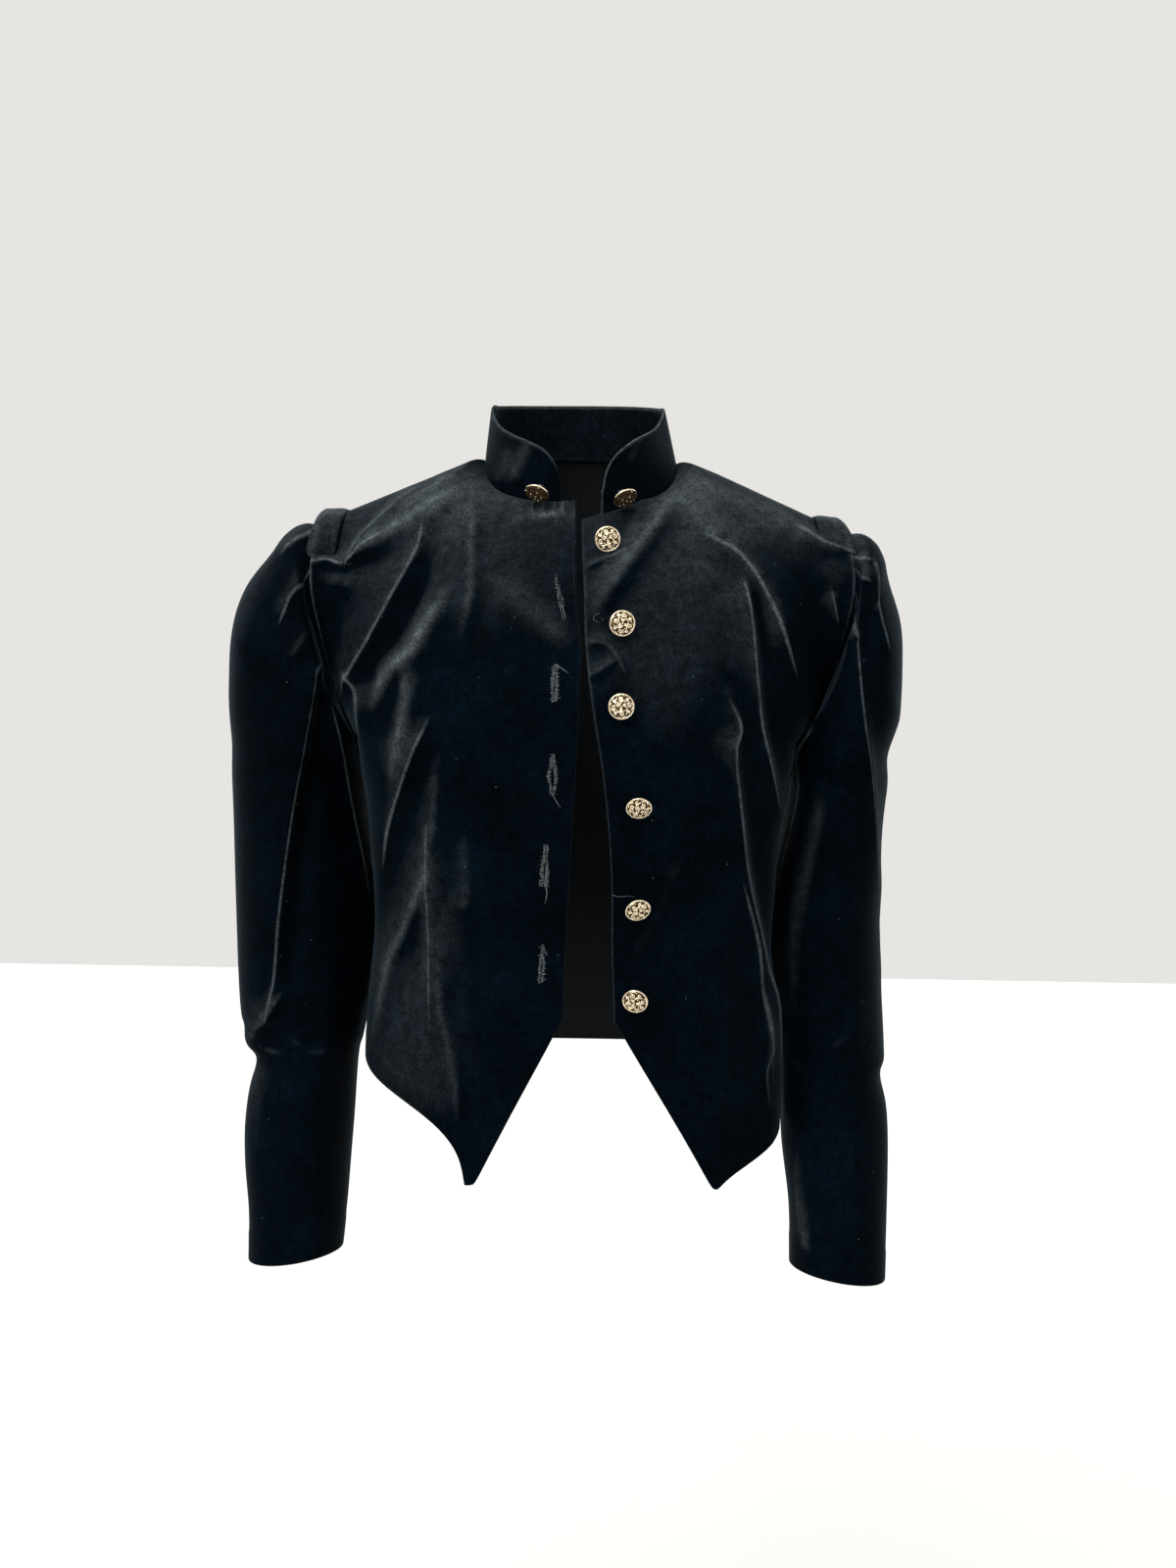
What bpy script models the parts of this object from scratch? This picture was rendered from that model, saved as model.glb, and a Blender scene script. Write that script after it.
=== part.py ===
# Cropped velvet jacket in its worn form: two fronts, a back, a stand collar, two full-headed
# sleeves, a folded pleat over each shoulder end, and eight domed shank buttons.
# Metres, +Z up. The front faces -Y and +X is the wearer's left. The origin is the middle of
# the neck base, where the wearer's shoulders carry the jacket.

import math
from collections import namedtuple

import bmesh
import bpy
from mathutils import Matrix, Vector

for old in list(bpy.data.objects):
    bpy.data.objects.remove(old)

LEFT = 1
RIGHT = -1

# Cloth wall and seams
WALL = 0.0018
SEAM_GAP = 0.0003
SEAM_TURN = 0.0015
COLLAR_WALL = 0.0026

# Neck, shoulders and underarm
NECK_HALF = 0.0745
NECK_Z = 0.003
NECK_FRONT_Y = -0.078
NECK_FRONT_Z = -0.041
NECK_BACK_Y = 0.062
NECK_BACK_Z = 0.016
TIP_X = 0.198
TIP_Z = -0.049
BUST_Z = -0.215
ARMHOLE_SCOOP_FRONT = 0.060
ARMHOLE_SCOOP_BACK = 0.052
ARMHOLE_FLARE = 0.022
BOXY = 2.5
NECK_LIFT = 55
SHOULDER_LIFT = 90

# Grid of the panels
FRONT_POINT_COLUMNS = 4
FRONT_NECK_COLUMN = 6
FRONT_COLUMNS = 12
BACK_COLUMNS = 20
BACK_NECK_COLUMN = 4
LOWER_ROWS = 10
UPPER_ROWS = 14
UPPER_GROWTH = 1.35

# Body of the jacket, a row for each level
TorsoRow = namedtuple("TorsoRow", "z half_width front_depth back_depth")
TORSO = (
    TorsoRow(-0.560, 0.157, 0.106, 0.102),
    TorsoRow(-0.470, 0.161, 0.110, 0.100),
    TorsoRow(-0.400, 0.157, 0.110, 0.093),
    TorsoRow(-0.350, 0.155, 0.112, 0.090),
    TorsoRow(-0.280, 0.160, 0.121, 0.095),
    TorsoRow(BUST_Z, 0.170, 0.127, 0.100),
)

# How far each front edge hangs from the middle plane
EdgeRow = namedtuple("EdgeRow", "z right_out left_out")
EDGES = (
    EdgeRow(-0.425, 0.0063, 0.0310),
    EdgeRow(-0.370, 0.0050, 0.0286),
    EdgeRow(-0.315, 0.0030, 0.0272),
    EdgeRow(-0.250, 0.0000, 0.0207),
    EdgeRow(-0.190, -0.0018, 0.0105),
    EdgeRow(-0.150, -0.0030, 0.0056),
    EdgeRow(-0.115, 0.0010, 0.0040),
    EdgeRow(-0.040, 0.0030, 0.0004),
)

# Cut of each front: its pointed hem, its neck corner and how far its side seam hangs back
FrontCut = namedtuple(
    "FrontCut",
    "side corner_z point_share point_z rise rise_power late_rise side_shift corner_drop",
)
FRONT_CUTS = {
    RIGHT: FrontCut(RIGHT, -0.421, 0.262, -0.545, 0.090, 0.30, 0.000, 0, -0.002),
    LEFT: FrontCut(LEFT, -0.421, 0.296, -0.545, 0.050, 0.50, 0.033, 19, 0.011),
}
BACK_HEM_Z = -0.458
BACK_HEM_DIP = 0.006

# Large folds of the fronts, seen from the front: from (out, z) to (out, z)
Fold = namedtuple("Fold", "out0 z0 out1 z1 half_width height")
FRONT_FOLDS = {
    RIGHT: (
        Fold(0.185, -0.092, 0.112, -0.052, 0.016, 0.0050),
        Fold(0.168, -0.112, 0.128, -0.076, 0.014, -0.0040),
        Fold(0.116, -0.074, 0.172, -0.178, 0.015, 0.0065),
        Fold(0.108, -0.150, 0.152, -0.204, 0.016, 0.0050),
        Fold(0.080, -0.075, 0.080, -0.165, 0.020, 0.0030),
        Fold(0.124, -0.170, 0.138, -0.270, 0.020, 0.0050),
        Fold(0.100, -0.300, 0.100, -0.430, 0.018, -0.0035),
    ),
    LEFT: (
        Fold(0.205, -0.078, 0.120, -0.050, 0.016, 0.0040),
        Fold(0.124, -0.125, 0.166, -0.186, 0.016, 0.0050),
        Fold(0.120, -0.160, 0.150, -0.276, 0.016, 0.0060),
        Fold(0.108, -0.190, 0.120, -0.312, 0.018, 0.0045),
        Fold(0.120, -0.312, 0.152, -0.430, 0.018, 0.0050),
        Fold(0.066, -0.064, 0.020, -0.124, 0.016, 0.0030),
        Fold(0.112, -0.350, 0.112, -0.470, 0.016, -0.0035),
    ),
}
BACK_FOLDS = (
    Fold(-0.140, -0.205, -0.085, -0.120, 0.018, 0.0045),
    Fold(0.145, -0.210, 0.095, -0.130, 0.018, 0.0040),
    Fold(-0.095, -0.150, -0.062, -0.390, 0.024, 0.0035),
    Fold(0.070, -0.170, 0.098, -0.420, 0.022, 0.0035),
    Fold(0.000, -0.060, 0.006, -0.200, 0.026, -0.0025),
)

# Sleeve sections from the head to the cuff: the tilt of the section, its inner point beside
# the body, its width away from the body, its middle front to back, and half its depth
SleeveRow = namedtuple("SleeveRow", "tilt inner_out inner_z width middle_y half_depth")
SLEEVES = {
    RIGHT: (
        SleeveRow(66, 0.1728, -0.2190, 0.1600, 0.000, 0.066),
        SleeveRow(50, 0.1732, -0.2230, 0.1420, 0.004, 0.072),
        SleeveRow(32, 0.1728, -0.2290, 0.1180, 0.010, 0.075),
        SleeveRow(12, 0.1712, -0.2380, 0.1035, 0.018, 0.075),
        SleeveRow(0, 0.1668, -0.2580, 0.1065, 0.026, 0.072),
        SleeveRow(0, 0.1560, -0.3600, 0.1130, 0.030, 0.066),
        SleeveRow(0, 0.1645, -0.4450, 0.0960, 0.012, 0.058),
        SleeveRow(-3, 0.1675, -0.4660, 0.0840, 0.002, 0.054),
        SleeveRow(-3, 0.1685, -0.5180, 0.0840, -0.012, 0.050),
        SleeveRow(-6, 0.1700, -0.5700, 0.0770, -0.022, 0.045),
        SleeveRow(-8, 0.1730, -0.6080, 0.0724, -0.030, 0.041),
    ),
    LEFT: (
        SleeveRow(66, 0.1728, -0.2190, 0.1520, 0.000, 0.066),
        SleeveRow(55, 0.1732, -0.2230, 0.1340, 0.003, 0.071),
        SleeveRow(40, 0.1728, -0.2290, 0.1050, 0.008, 0.076),
        SleeveRow(16, 0.1712, -0.2380, 0.0765, 0.016, 0.080),
        SleeveRow(0, 0.1668, -0.2580, 0.0790, 0.025, 0.080),
        SleeveRow(0, 0.1560, -0.3600, 0.0875, 0.028, 0.074),
        SleeveRow(0, 0.1650, -0.4450, 0.0810, 0.012, 0.062),
        SleeveRow(-2, 0.1665, -0.4700, 0.0800, 0.002, 0.057),
        SleeveRow(-2, 0.1655, -0.5180, 0.0820, -0.012, 0.050),
        SleeveRow(-6, 0.1710, -0.5700, 0.0745, -0.022, 0.046),
        SleeveRow(-8, 0.1710, -0.6150, 0.0722, -0.030, 0.041),
    ),
}
RINGS_PER_SECTION = (2, 2, 2, 2, 3, 2, 1, 2, 1, 1)

# Head pleats and long creases of the sleeves: angle round the sleeve (0 beside the body,
# 90 in front, 180 outside, 270 behind) and section number, from one end to the other
SleeveFold = namedtuple("SleeveFold", "angle0 section0 angle1 section1 half_angle height")
SLEEVE_FOLDS = {
    RIGHT: (
        SleeveFold(168, -0.2, 174, 2.6, 11, 0.0050),
        SleeveFold(140, -0.2, 146, 2.8, 11, 0.0050),
        SleeveFold(112, -0.2, 120, 2.6, 11, 0.0050),
        SleeveFold(84, 0.0, 100, 4.6, 12, 0.0050),
        SleeveFold(100, 4.4, 128, 6.8, 13, 0.0045),
        SleeveFold(38, 2.6, 36, 5.2, 16, 0.0035),
        SleeveFold(198, -0.2, 198, 2.6, 11, 0.0050),
        SleeveFold(226, -0.2, 226, 2.8, 11, 0.0050),
        SleeveFold(254, 0.0, 246, 4.2, 12, 0.0050),
        SleeveFold(282, 3.0, 262, 6.6, 16, 0.0040),
    ),
    LEFT: (
        SleeveFold(166, -0.2, 178, 2.6, 11, 0.0050),
        SleeveFold(138, -0.2, 152, 3.0, 11, 0.0050),
        SleeveFold(108, -0.2, 122, 3.4, 11, 0.0050),
        SleeveFold(122, 3.2, 150, 5.2, 14, 0.0045),
        SleeveFold(72, 0.2, 66, 5.6, 15, 0.0040),
        SleeveFold(194, -0.2, 196, 2.6, 11, 0.0050),
        SleeveFold(222, -0.2, 218, 2.8, 11, 0.0050),
        SleeveFold(252, 0.0, 240, 4.2, 12, 0.0050),
        SleeveFold(278, 3.0, 262, 6.4, 16, 0.0040),
    ),
}
SLEEVE_LAP = 0.005
ELBOW_SECTION = 7.0
ELBOW_TUCK = 0.004

# Pleat folded over each shoulder end
PLEAT_HEIGHT = 0.0042
PLEAT_OVERHANG = 0.0042
PLEAT_FIRST_ROW = 9
PLEAT_END_SHARE = 0.25

# Stand collar
COLLAR_HEIGHT = 0.040
COLLAR_END_HEIGHT = 0.017
COLLAR_CORNER = 0.030
COLLAR_FIRST_COLUMN = 1
COLLAR_LEAN_FRONT = -0.003
COLLAR_LEAN_SIDE = 0.008
COLLAR_ROWS = 3

# Buttons
BUTTON_RADIUS = 0.0100
BUTTON_SIDES = 12
BUTTON_GAP = 0.0006
SHANK_RADIUS = 0.0020
ButtonRow = namedtuple("ButtonRow", "name z from_edge tilt turn")
BUTTONS = (
    ButtonRow("button_1", -0.073, 0.0195, 6, 6),
    ButtonRow("button_2", -0.134, 0.0240, 6, 14),
    ButtonRow("button_3", -0.194, 0.0200, 0, 0),
    ButtonRow("button_4", -0.266, 0.0220, 20, -4),
    ButtonRow("button_5", -0.340, 0.0180, 17, 8),
    ButtonRow("button_6", -0.406, 0.0175, 12, -6),
)
FRONT_SHANK = 0.0055
COLLAR_SHANK = 0.0090
COLLAR_BUTTON_TILT = 36
COLLAR_BUTTON_RISE = 0.012
# Half outline of a button above its shank: share of the radius, height
BUTTON_OUTLINE = (
    (0.90, 0.0000),
    (1.00, 0.0008),
    (1.00, 0.0018),
    (0.72, 0.0034),
    (0.38, 0.0045),
)
BUTTON_TOP = 0.0049

VELVET = (0.012, 0.014, 0.015, 1.0)
BRASS = (0.62, 0.45, 0.20, 1.0)


def smooth_rows(rows, at, key, column):
    """A column of a table at a place between its rows, on a smooth curve through them."""
    spots = [getattr(row, key) for row in rows]
    values = [getattr(row, column) for row in rows]
    return smooth_curve(spots, values, at)


def smooth_curve(spots, values, at):
    """Smooth curve through the values at rising spots, level beyond the ends."""
    last = len(spots) - 1
    if at <= spots[0]:
        return values[0]
    if at >= spots[last]:
        return values[last]
    i = 0
    while at > spots[i + 1]:
        i += 1
    span = spots[i + 1] - spots[i]
    t = (at - spots[i]) / span

    def slope(k):
        if k == 0 or k == last:
            return 0.0
        return (values[k + 1] - values[k - 1]) / (spots[k + 1] - spots[k - 1])

    a = 2 * t**3 - 3 * t**2 + 1
    b = t**3 - 2 * t**2 + t
    c = -2 * t**3 + 3 * t**2
    d = t**3 - t**2
    return a * values[i] + b * span * slope(i) + c * values[i + 1] + d * span * slope(i + 1)


def ease(t):
    t = min(1.0, max(0.0, t))
    return t * t * (3 - 2 * t)


def edge_out(cut, z):
    """How far a front's edge hangs from the middle plane at a height."""
    column = "left_out" if cut.side == LEFT else "right_out"
    return smooth_rows(EDGES, z, "z", column)


def torso_section(turn, z):
    """Outward and forward-back place on the body ring; turn 0 is the middle of the front."""
    half_width = smooth_rows(TORSO, z, "z", "half_width")
    column = "front_depth" if math.cos(turn) >= 0 else "back_depth"
    depth = smooth_rows(TORSO, z, "z", column)
    s = math.sin(turn)
    c = math.cos(turn)
    boxy = (abs(s) ** BOXY + abs(c) ** BOXY) ** (-1 / BOXY)
    return half_width * s * boxy, -depth * c * boxy


def fold_height(folds, out, z):
    """Height of the folds at a place seen from the front or the back."""
    total = 0.0
    for fold in folds:
        along_out = fold.out1 - fold.out0
        along_z = fold.z1 - fold.z0
        long2 = along_out**2 + along_z**2
        t = ((out - fold.out0) * along_out + (z - fold.z0) * along_z) / long2
        t = min(1.0, max(0.0, t))
        away = math.hypot(out - fold.out0 - t * along_out, z - fold.z0 - t * along_z)
        fade = 0.35 + 0.65 * math.sin(math.pi * t)
        total += fold.height * fade * math.exp(-((away / fold.half_width) ** 2))
    return total


def hem_height(cut, across):
    """Lower edge of a front: slanting to its point, then rising to the side."""
    if across <= cut.point_share:
        return cut.corner_z + (cut.point_z - cut.corner_z) * across / cut.point_share
    q = (across - cut.point_share) / (1 - cut.point_share)
    late = cut.late_rise * ease((q - 0.5) / 0.5)
    return cut.point_z + cut.rise * q**cut.rise_power + late


def neck_share(cut):
    """Share of a front's width that ends at the shoulder's neck point."""
    rest = FRONT_COLUMNS - FRONT_POINT_COLUMNS
    past = FRONT_NECK_COLUMN - FRONT_POINT_COLUMNS
    return cut.point_share + (1 - cut.point_share) * past / rest


def shoulder_place(q):
    """Outward place and height of the shoulder seam, q 0 at the neck to 1 at the tip."""
    drop = NECK_Z + (TIP_Z - NECK_Z) * q
    return NECK_HALF + (TIP_X - NECK_HALF) * q, drop - 0.001 * math.sin(math.pi * q)


def front_top(cut, across):
    """Upper edge of a front: its half of the neckline, then the shoulder seam."""
    neck = neck_share(cut)
    if across >= neck:
        out, z = shoulder_place((across - neck) / (1 - neck))
        return out, -SEAM_GAP / 2, z
    beta = across / neck * math.pi / 2
    c = max(0.0, math.cos(beta))
    z = NECK_Z + (NECK_FRONT_Z - NECK_Z) * c * (1.5 - 0.5 * c)
    out = NECK_HALF * math.sin(beta)
    drop = cut.corner_drop * max(0.0, 1 - out / 0.022) ** 2
    return out, NECK_FRONT_Y * c - SEAM_GAP / 2, z - drop


def armhole_flare(rise):
    """How far the armhole edge stands out beyond a straight line to the shoulder tip."""
    swing = max(0.0, math.sin(math.pi * (rise - 1)))
    return ARMHOLE_FLARE * swing**0.6 * (1 - 0.6 * ease((rise - 1.4) / 0.5))


def front_point(cut, across, rise):
    """Outer face of a front: across 0 at its edge to 1 at the side; rise 0 at the hem,
    1 at the bust line, 2 at the neck and shoulder."""
    if rise <= 1:
        hem = hem_height(cut, across)
        z = hem + (BUST_Z - hem) * rise
        side = math.radians(90 + cut.side_shift * (1 - rise)) - SEAM_TURN
        turn = across * side
        out, y = torso_section(turn, z)
        lift = 0.0
    else:
        neck = neck_share(cut)
        end = NECK_LIFT + (SHOULDER_LIFT - NECK_LIFT) * ease(across / neck)
        end = math.radians(end)
        lift = (rise - 1) * end
        up = math.sin(lift) / math.sin(end)
        back = (1 - math.cos(lift)) / (1 - math.cos(end))
        turn = across * (math.pi / 2 - SEAM_TURN)
        low_out, low_y = torso_section(turn, BUST_Z)
        top_out, top_y, top_z = front_top(cut, across)
        z = BUST_Z + (top_z - BUST_Z) * up
        out = low_out + (top_out - low_out) * back
        y = low_y + (top_y - low_y) * back
        swing = max(0.0, math.sin(math.pi * (rise - 1)))
        y -= ARMHOLE_SCOOP_FRONT * swing**0.7 * across**3
        out += armhole_flare(rise) * across**3
    out += edge_out(cut, z) * (1 - math.sin(across * math.pi / 2))
    push = fold_height(FRONT_FOLDS[cut.side], out, z)
    push *= ease((1 - across) / 0.12) * 0.9 + 0.1
    push *= ease((2 - rise) / 0.30)
    facing = turn * 0.85
    flat = math.cos(lift * 0.9)
    out += push * math.sin(facing) * flat
    y -= push * math.cos(facing) * flat
    z += push * math.sin(lift * 0.9)
    return Vector((cut.side * out, y, z))


def back_point(across, rise):
    """Outer face of the back: across -1 at the right side to 1 at the left side."""
    size = abs(across)
    shift = FRONT_CUTS[LEFT].side_shift if across > 0 else FRONT_CUTS[RIGHT].side_shift
    neck = BACK_NECK_COLUMN / (BACK_COLUMNS / 2)
    if rise <= 1:
        sides = {1: LEFT, -1: RIGHT}
        cut = FRONT_CUTS[sides[1 if across >= 0 else -1]]
        middle = BACK_HEM_Z - BACK_HEM_DIP
        hem = middle + (hem_height(cut, 1.0) - middle) * size**2
        z = hem + (BUST_Z - hem) * rise
        turn = size * (math.radians(90 - shift * (1 - rise)) - SEAM_TURN)
        out, y = torso_section(math.pi - turn, z)
        lift = 0.0
    else:
        end = math.radians(70 + 20 * ease(size / neck))
        lift = (rise - 1) * end
        up = math.sin(lift) / math.sin(end)
        forward = (1 - math.cos(lift)) / (1 - math.cos(end))
        turn = size * (math.pi / 2 - SEAM_TURN)
        low_out, low_y = torso_section(math.pi - turn, BUST_Z)
        if size >= neck:
            top_out, top_z = shoulder_place((size - neck) / (1 - neck))
            top_y = SEAM_GAP / 2
        else:
            c = math.cos(size / neck * math.pi / 2)
            top_out = NECK_HALF * math.sin(size / neck * math.pi / 2)
            top_y = NECK_BACK_Y * c + SEAM_GAP / 2
            top_z = NECK_Z + (NECK_BACK_Z - NECK_Z) * c
        z = BUST_Z + (top_z - BUST_Z) * up
        out = low_out + (top_out - low_out) * forward
        y = low_y + (top_y - low_y) * forward
        swing = max(0.0, math.sin(math.pi * (rise - 1)))
        y += ARMHOLE_SCOOP_BACK * swing**0.7 * size**3
        out += armhole_flare(rise) * size**3
    x = out if across >= 0 else -out
    push = fold_height(BACK_FOLDS, x, z)
    push *= ease((1 - size) / 0.12) * 0.9 + 0.1
    push *= ease((2 - rise) / 0.30)
    facing = turn * 0.85
    flat = math.cos(lift * 0.9)
    x += push * math.sin(facing) * flat * (1 if across >= 0 else -1)
    y += push * math.cos(facing) * flat
    z += push * math.sin(lift * 0.9)
    return Vector((x, y, z))


def face_normal(place, across, rise, low, high):
    """Outward normal of a panel at one of its points; place gives the panel's points."""
    step = 0.002
    a0 = max(low, across - step)
    a1 = min(high, across + step)
    r0 = max(0.0, rise - step)
    r1 = min(2.0, rise + step)
    over = place(a1, rise) - place(a0, rise)
    up = place(across, r1) - place(across, r0)
    return over.cross(up).normalized()


def front_columns(cut):
    first = [cut.point_share * i / FRONT_POINT_COLUMNS for i in range(FRONT_POINT_COLUMNS)]
    rest = FRONT_COLUMNS - FRONT_POINT_COLUMNS
    second = [cut.point_share + (1 - cut.point_share) * i / rest for i in range(rest + 1)]
    return first + second


def panel_rows():
    lower = [i / LOWER_ROWS for i in range(LOWER_ROWS)]
    upper = [1 + (i / UPPER_ROWS) ** UPPER_GROWTH for i in range(UPPER_ROWS + 1)]
    return lower + upper


def panel_grid(place, columns, rows, flip, seam_ends):
    """Points and outward normals of a panel, a list of columns for each row."""
    points = []
    normals = []
    low = columns[0]
    high = columns[-1]
    for rise in rows:
        line = []
        line_normals = []
        for across in columns:
            normal = face_normal(place, across, rise, low, high) * flip
            on_side = rise <= 1 and across in seam_ends
            on_shoulder = rise == 2.0 and abs(place(across, rise).y) < SEAM_GAP
            if on_side or on_shoulder:
                normal.y = 0
                normal.normalize()
            line.append(place(across, rise))
            line_normals.append(normal)
        points.append(line)
        normals.append(line_normals)
    return points, normals


def offset(points, normals, by):
    """A grid of points moved along its normals."""
    moved = []
    for line, line_normals in zip(points, normals):
        moved.append([p + n * by for p, n in zip(line, line_normals)])
    return moved


def finish_mesh(name, mesh_edit, material):
    """Closed mesh turned into a named object with its own material."""
    bmesh.ops.triangulate(mesh_edit, faces=mesh_edit.faces[:], quad_method="FIXED")
    bmesh.ops.recalc_face_normals(mesh_edit, faces=mesh_edit.faces[:])
    mesh = bpy.data.meshes.new(name)
    mesh_edit.to_mesh(mesh)
    mesh_edit.free()
    mesh.materials.append(material)
    made = bpy.data.objects.new(name, mesh)
    bpy.context.scene.collection.objects.link(made)
    return made


def make_material(name, colour, roughness, metallic):
    material = bpy.data.materials.new(name)
    material.use_nodes = True
    shader = material.node_tree.nodes["Principled BSDF"]
    shader.inputs["Base Color"].default_value = colour
    shader.inputs["Roughness"].default_value = roughness
    shader.inputs["Metallic"].default_value = metallic
    material.diffuse_color = colour
    return material


def make_wall(name, outer, inner, material, wraps=False):
    """Wall between an outer and an inner grid of points, closed at its edges."""
    edit = bmesh.new()
    rows = len(outer)
    columns = len(outer[0])
    out = [[edit.verts.new(p) for p in line] for line in outer]
    ins = [[edit.verts.new(p) for p in line] for line in inner]
    cells = columns if wraps else columns - 1
    for r in range(rows - 1):
        for c in range(cells):
            d = (c + 1) % columns
            edit.faces.new((out[r][c], out[r][d], out[r + 1][d], out[r + 1][c]))
            edit.faces.new((ins[r][c], ins[r + 1][c], ins[r + 1][d], ins[r][d]))
    for c in range(cells):
        d = (c + 1) % columns
        for r in (0, rows - 1):
            edit.faces.new((out[r][c], ins[r][c], ins[r][d], out[r][d]))
    if not wraps:
        for r in range(rows - 1):
            for c in (0, columns - 1):
                edit.faces.new((out[r][c], out[r + 1][c], ins[r + 1][c], ins[r][c]))
    return finish_mesh(name, edit, material)


def make_bar(name, sections, material):
    """Solid run through closed sections, with its ends filled."""
    edit = bmesh.new()
    loops = [[edit.verts.new(p) for p in section] for section in sections]
    count = len(loops[0])
    for near, far in zip(loops, loops[1:]):
        for i in range(count):
            j = (i + 1) % count
            edit.faces.new((near[i], near[j], far[j], far[i]))
    edit.faces.new(loops[0])
    edit.faces.new(loops[-1])
    return finish_mesh(name, edit, material)


def armhole_loop(side):
    """Armhole edge of a side: points, outward normals and directions out of the panels,
    up the front from the underarm to the shoulder tip and down the back."""
    cut = FRONT_CUTS[side]
    rows = [rise for rise in panel_rows() if rise >= 1]
    points = []
    normals = []
    for rise in rows:
        points.append(front_point(cut, 1.0, rise))
        place = lambda a, r: front_point(cut, a, r)
        normals.append(face_normal(place, 1.0, rise, 0.0, 1.0) * side)
    for rise in reversed(rows[1:-1]):
        points.append(back_point(side * 1.0, rise))
        normals.append(face_normal(back_point, side * 1.0, rise, -1.0, 1.0) * -1)
    tip = len(rows) - 1
    points[tip].y = 0
    normals[tip].y = 0
    normals[tip].normalize()
    points[0].y = 0
    normals[0] = Vector((side, 0, 0))
    count = len(points)
    outs = []
    for i in range(count):
        along = points[(i + 1) % count] - points[i - 1]
        outs.append(along.cross(normals[i]).normalized() * side)
    return points, normals, outs


def sleeve_angles():
    """Angle round the sleeve of each point of the armhole loop."""
    rows = [rise for rise in panel_rows() if rise >= 1]
    front = []
    for rise in rows:
        up = math.sin((rise - 1) * math.pi / 2)
        front.append(math.degrees(math.acos(max(-1.0, min(1.0, 1 - 2 * up)))))
    return front + [360 - angle for angle in reversed(front[1:-1])]


def sleeve_fold_height(side, angle, section):
    total = 0.0
    for fold in SLEEVE_FOLDS[side]:
        t = (section - fold.section0) / (fold.section1 - fold.section0)
        if t < -0.25 or t > 1.25:
            continue
        fade = ease((t + 0.15) / 0.3) * ease((1.25 - t) / 0.5)
        middle = fold.angle0 + (fold.angle1 - fold.angle0) * min(1.0, max(0.0, t))
        total += fold.height * fade * math.exp(-(((angle - middle) / fold.half_angle) ** 2))
    tuck = math.exp(-(((section - ELBOW_SECTION) / 0.35) ** 2))
    total -= ELBOW_TUCK * tuck * math.exp(-(((angle - 165) / 60) ** 2))
    return total


def sleeve_point(side, angle, section):
    """Outer face of a sleeve at an angle round it and a section along it."""
    rows = SLEEVES[side]
    spots = list(range(len(rows)))

    def column(key):
        return smooth_curve(spots, [getattr(row, key) for row in rows], section)

    tilt = math.radians(column("tilt"))
    width = column("width")
    push = sleeve_fold_height(side, angle, section)
    turn = math.radians(angle)
    reach = (1 - math.cos(turn)) / 2 * width - push * math.cos(turn)
    out = column("inner_out") + math.cos(tilt) * reach
    z = column("inner_z") + math.sin(tilt) * reach
    y = column("middle_y") - math.sin(turn) * (column("half_depth") + push)
    return Vector((side * out, y, z))


def sleeve_rings(side):
    """Rings of a sleeve's outer face, from the armhole edge to the cuff. At the top it starts
    under the panels' edge, at the underarm outside it, and between the two beside it."""
    points, normals, outs = armhole_loop(side)
    angles = sleeve_angles()
    first = [sleeve_point(side, angle, 0) for angle in angles]
    under = WALL + SEAM_GAP + 0.0004
    start = []
    leave = []
    between = []
    for p, n, o, angle, aim in zip(points, normals, outs, angles, first):
        from_under = min(angle, 360 - angle)
        low = 1 - ease((from_under - 25) / 30)
        deep = ease((from_under - 50) / 36)
        high = ease((from_under - 96) / 30)
        begin = p + o * (0.0015 * (1 - high) - SLEEVE_LAP * high)
        begin += n * (0.0014 * low - under * deep)
        start.append(begin)
        past_edge = p + o * 0.0030 - n * under
        leave.append(begin.lerp(aim, 0.25).lerp(past_edge, deep))
        halfway = leave[-1].lerp(aim, 0.5)
        between.append(halfway + n * 0.0015 * deep)
    rings = [start, leave, between]
    for section, count in enumerate(RINGS_PER_SECTION):
        for i in range(count):
            spot = section + i / count
            rings.append([sleeve_point(side, angle, spot) for angle in angles])
    last = len(RINGS_PER_SECTION)
    rings.append([sleeve_point(side, angle, last) for angle in angles])
    return rings


def ring_normals(rings, side):
    """Outward normals of wrapping rings."""
    count = len(rings[0])
    normals = []
    for r, ring in enumerate(rings):
        above = rings[max(0, r - 1)]
        below = rings[min(len(rings) - 1, r + 1)]
        line = []
        for i in range(count):
            round_it = ring[(i + 1) % count] - ring[i - 1]
            down = below[i] - above[i]
            line.append(down.cross(round_it).normalized() * side)
        normals.append(line)
    return normals


def find_on_front(cut, out, z):
    """Across and rise of the point of a front seen at an outward place and height."""
    across = 0.1
    rise = 1.0
    for _ in range(30):
        here = front_point(cut, across, rise)
        miss_out = out - here.x * cut.side
        miss_z = z - here.z
        step = 0.001
        da = (front_point(cut, across + step, rise) - here) / step
        dr = (front_point(cut, across, rise - step) - here) / -step
        det = da.x * cut.side * dr.z - dr.x * cut.side * da.z
        across += (miss_out * dr.z - dr.x * cut.side * miss_z) / det * 0.8
        rise += (da.x * cut.side * miss_z - miss_out * da.z) / det * 0.8
        across = min(0.95, max(0.0, across))
        rise = min(1.98, max(0.02, rise))
    return across, rise


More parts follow.
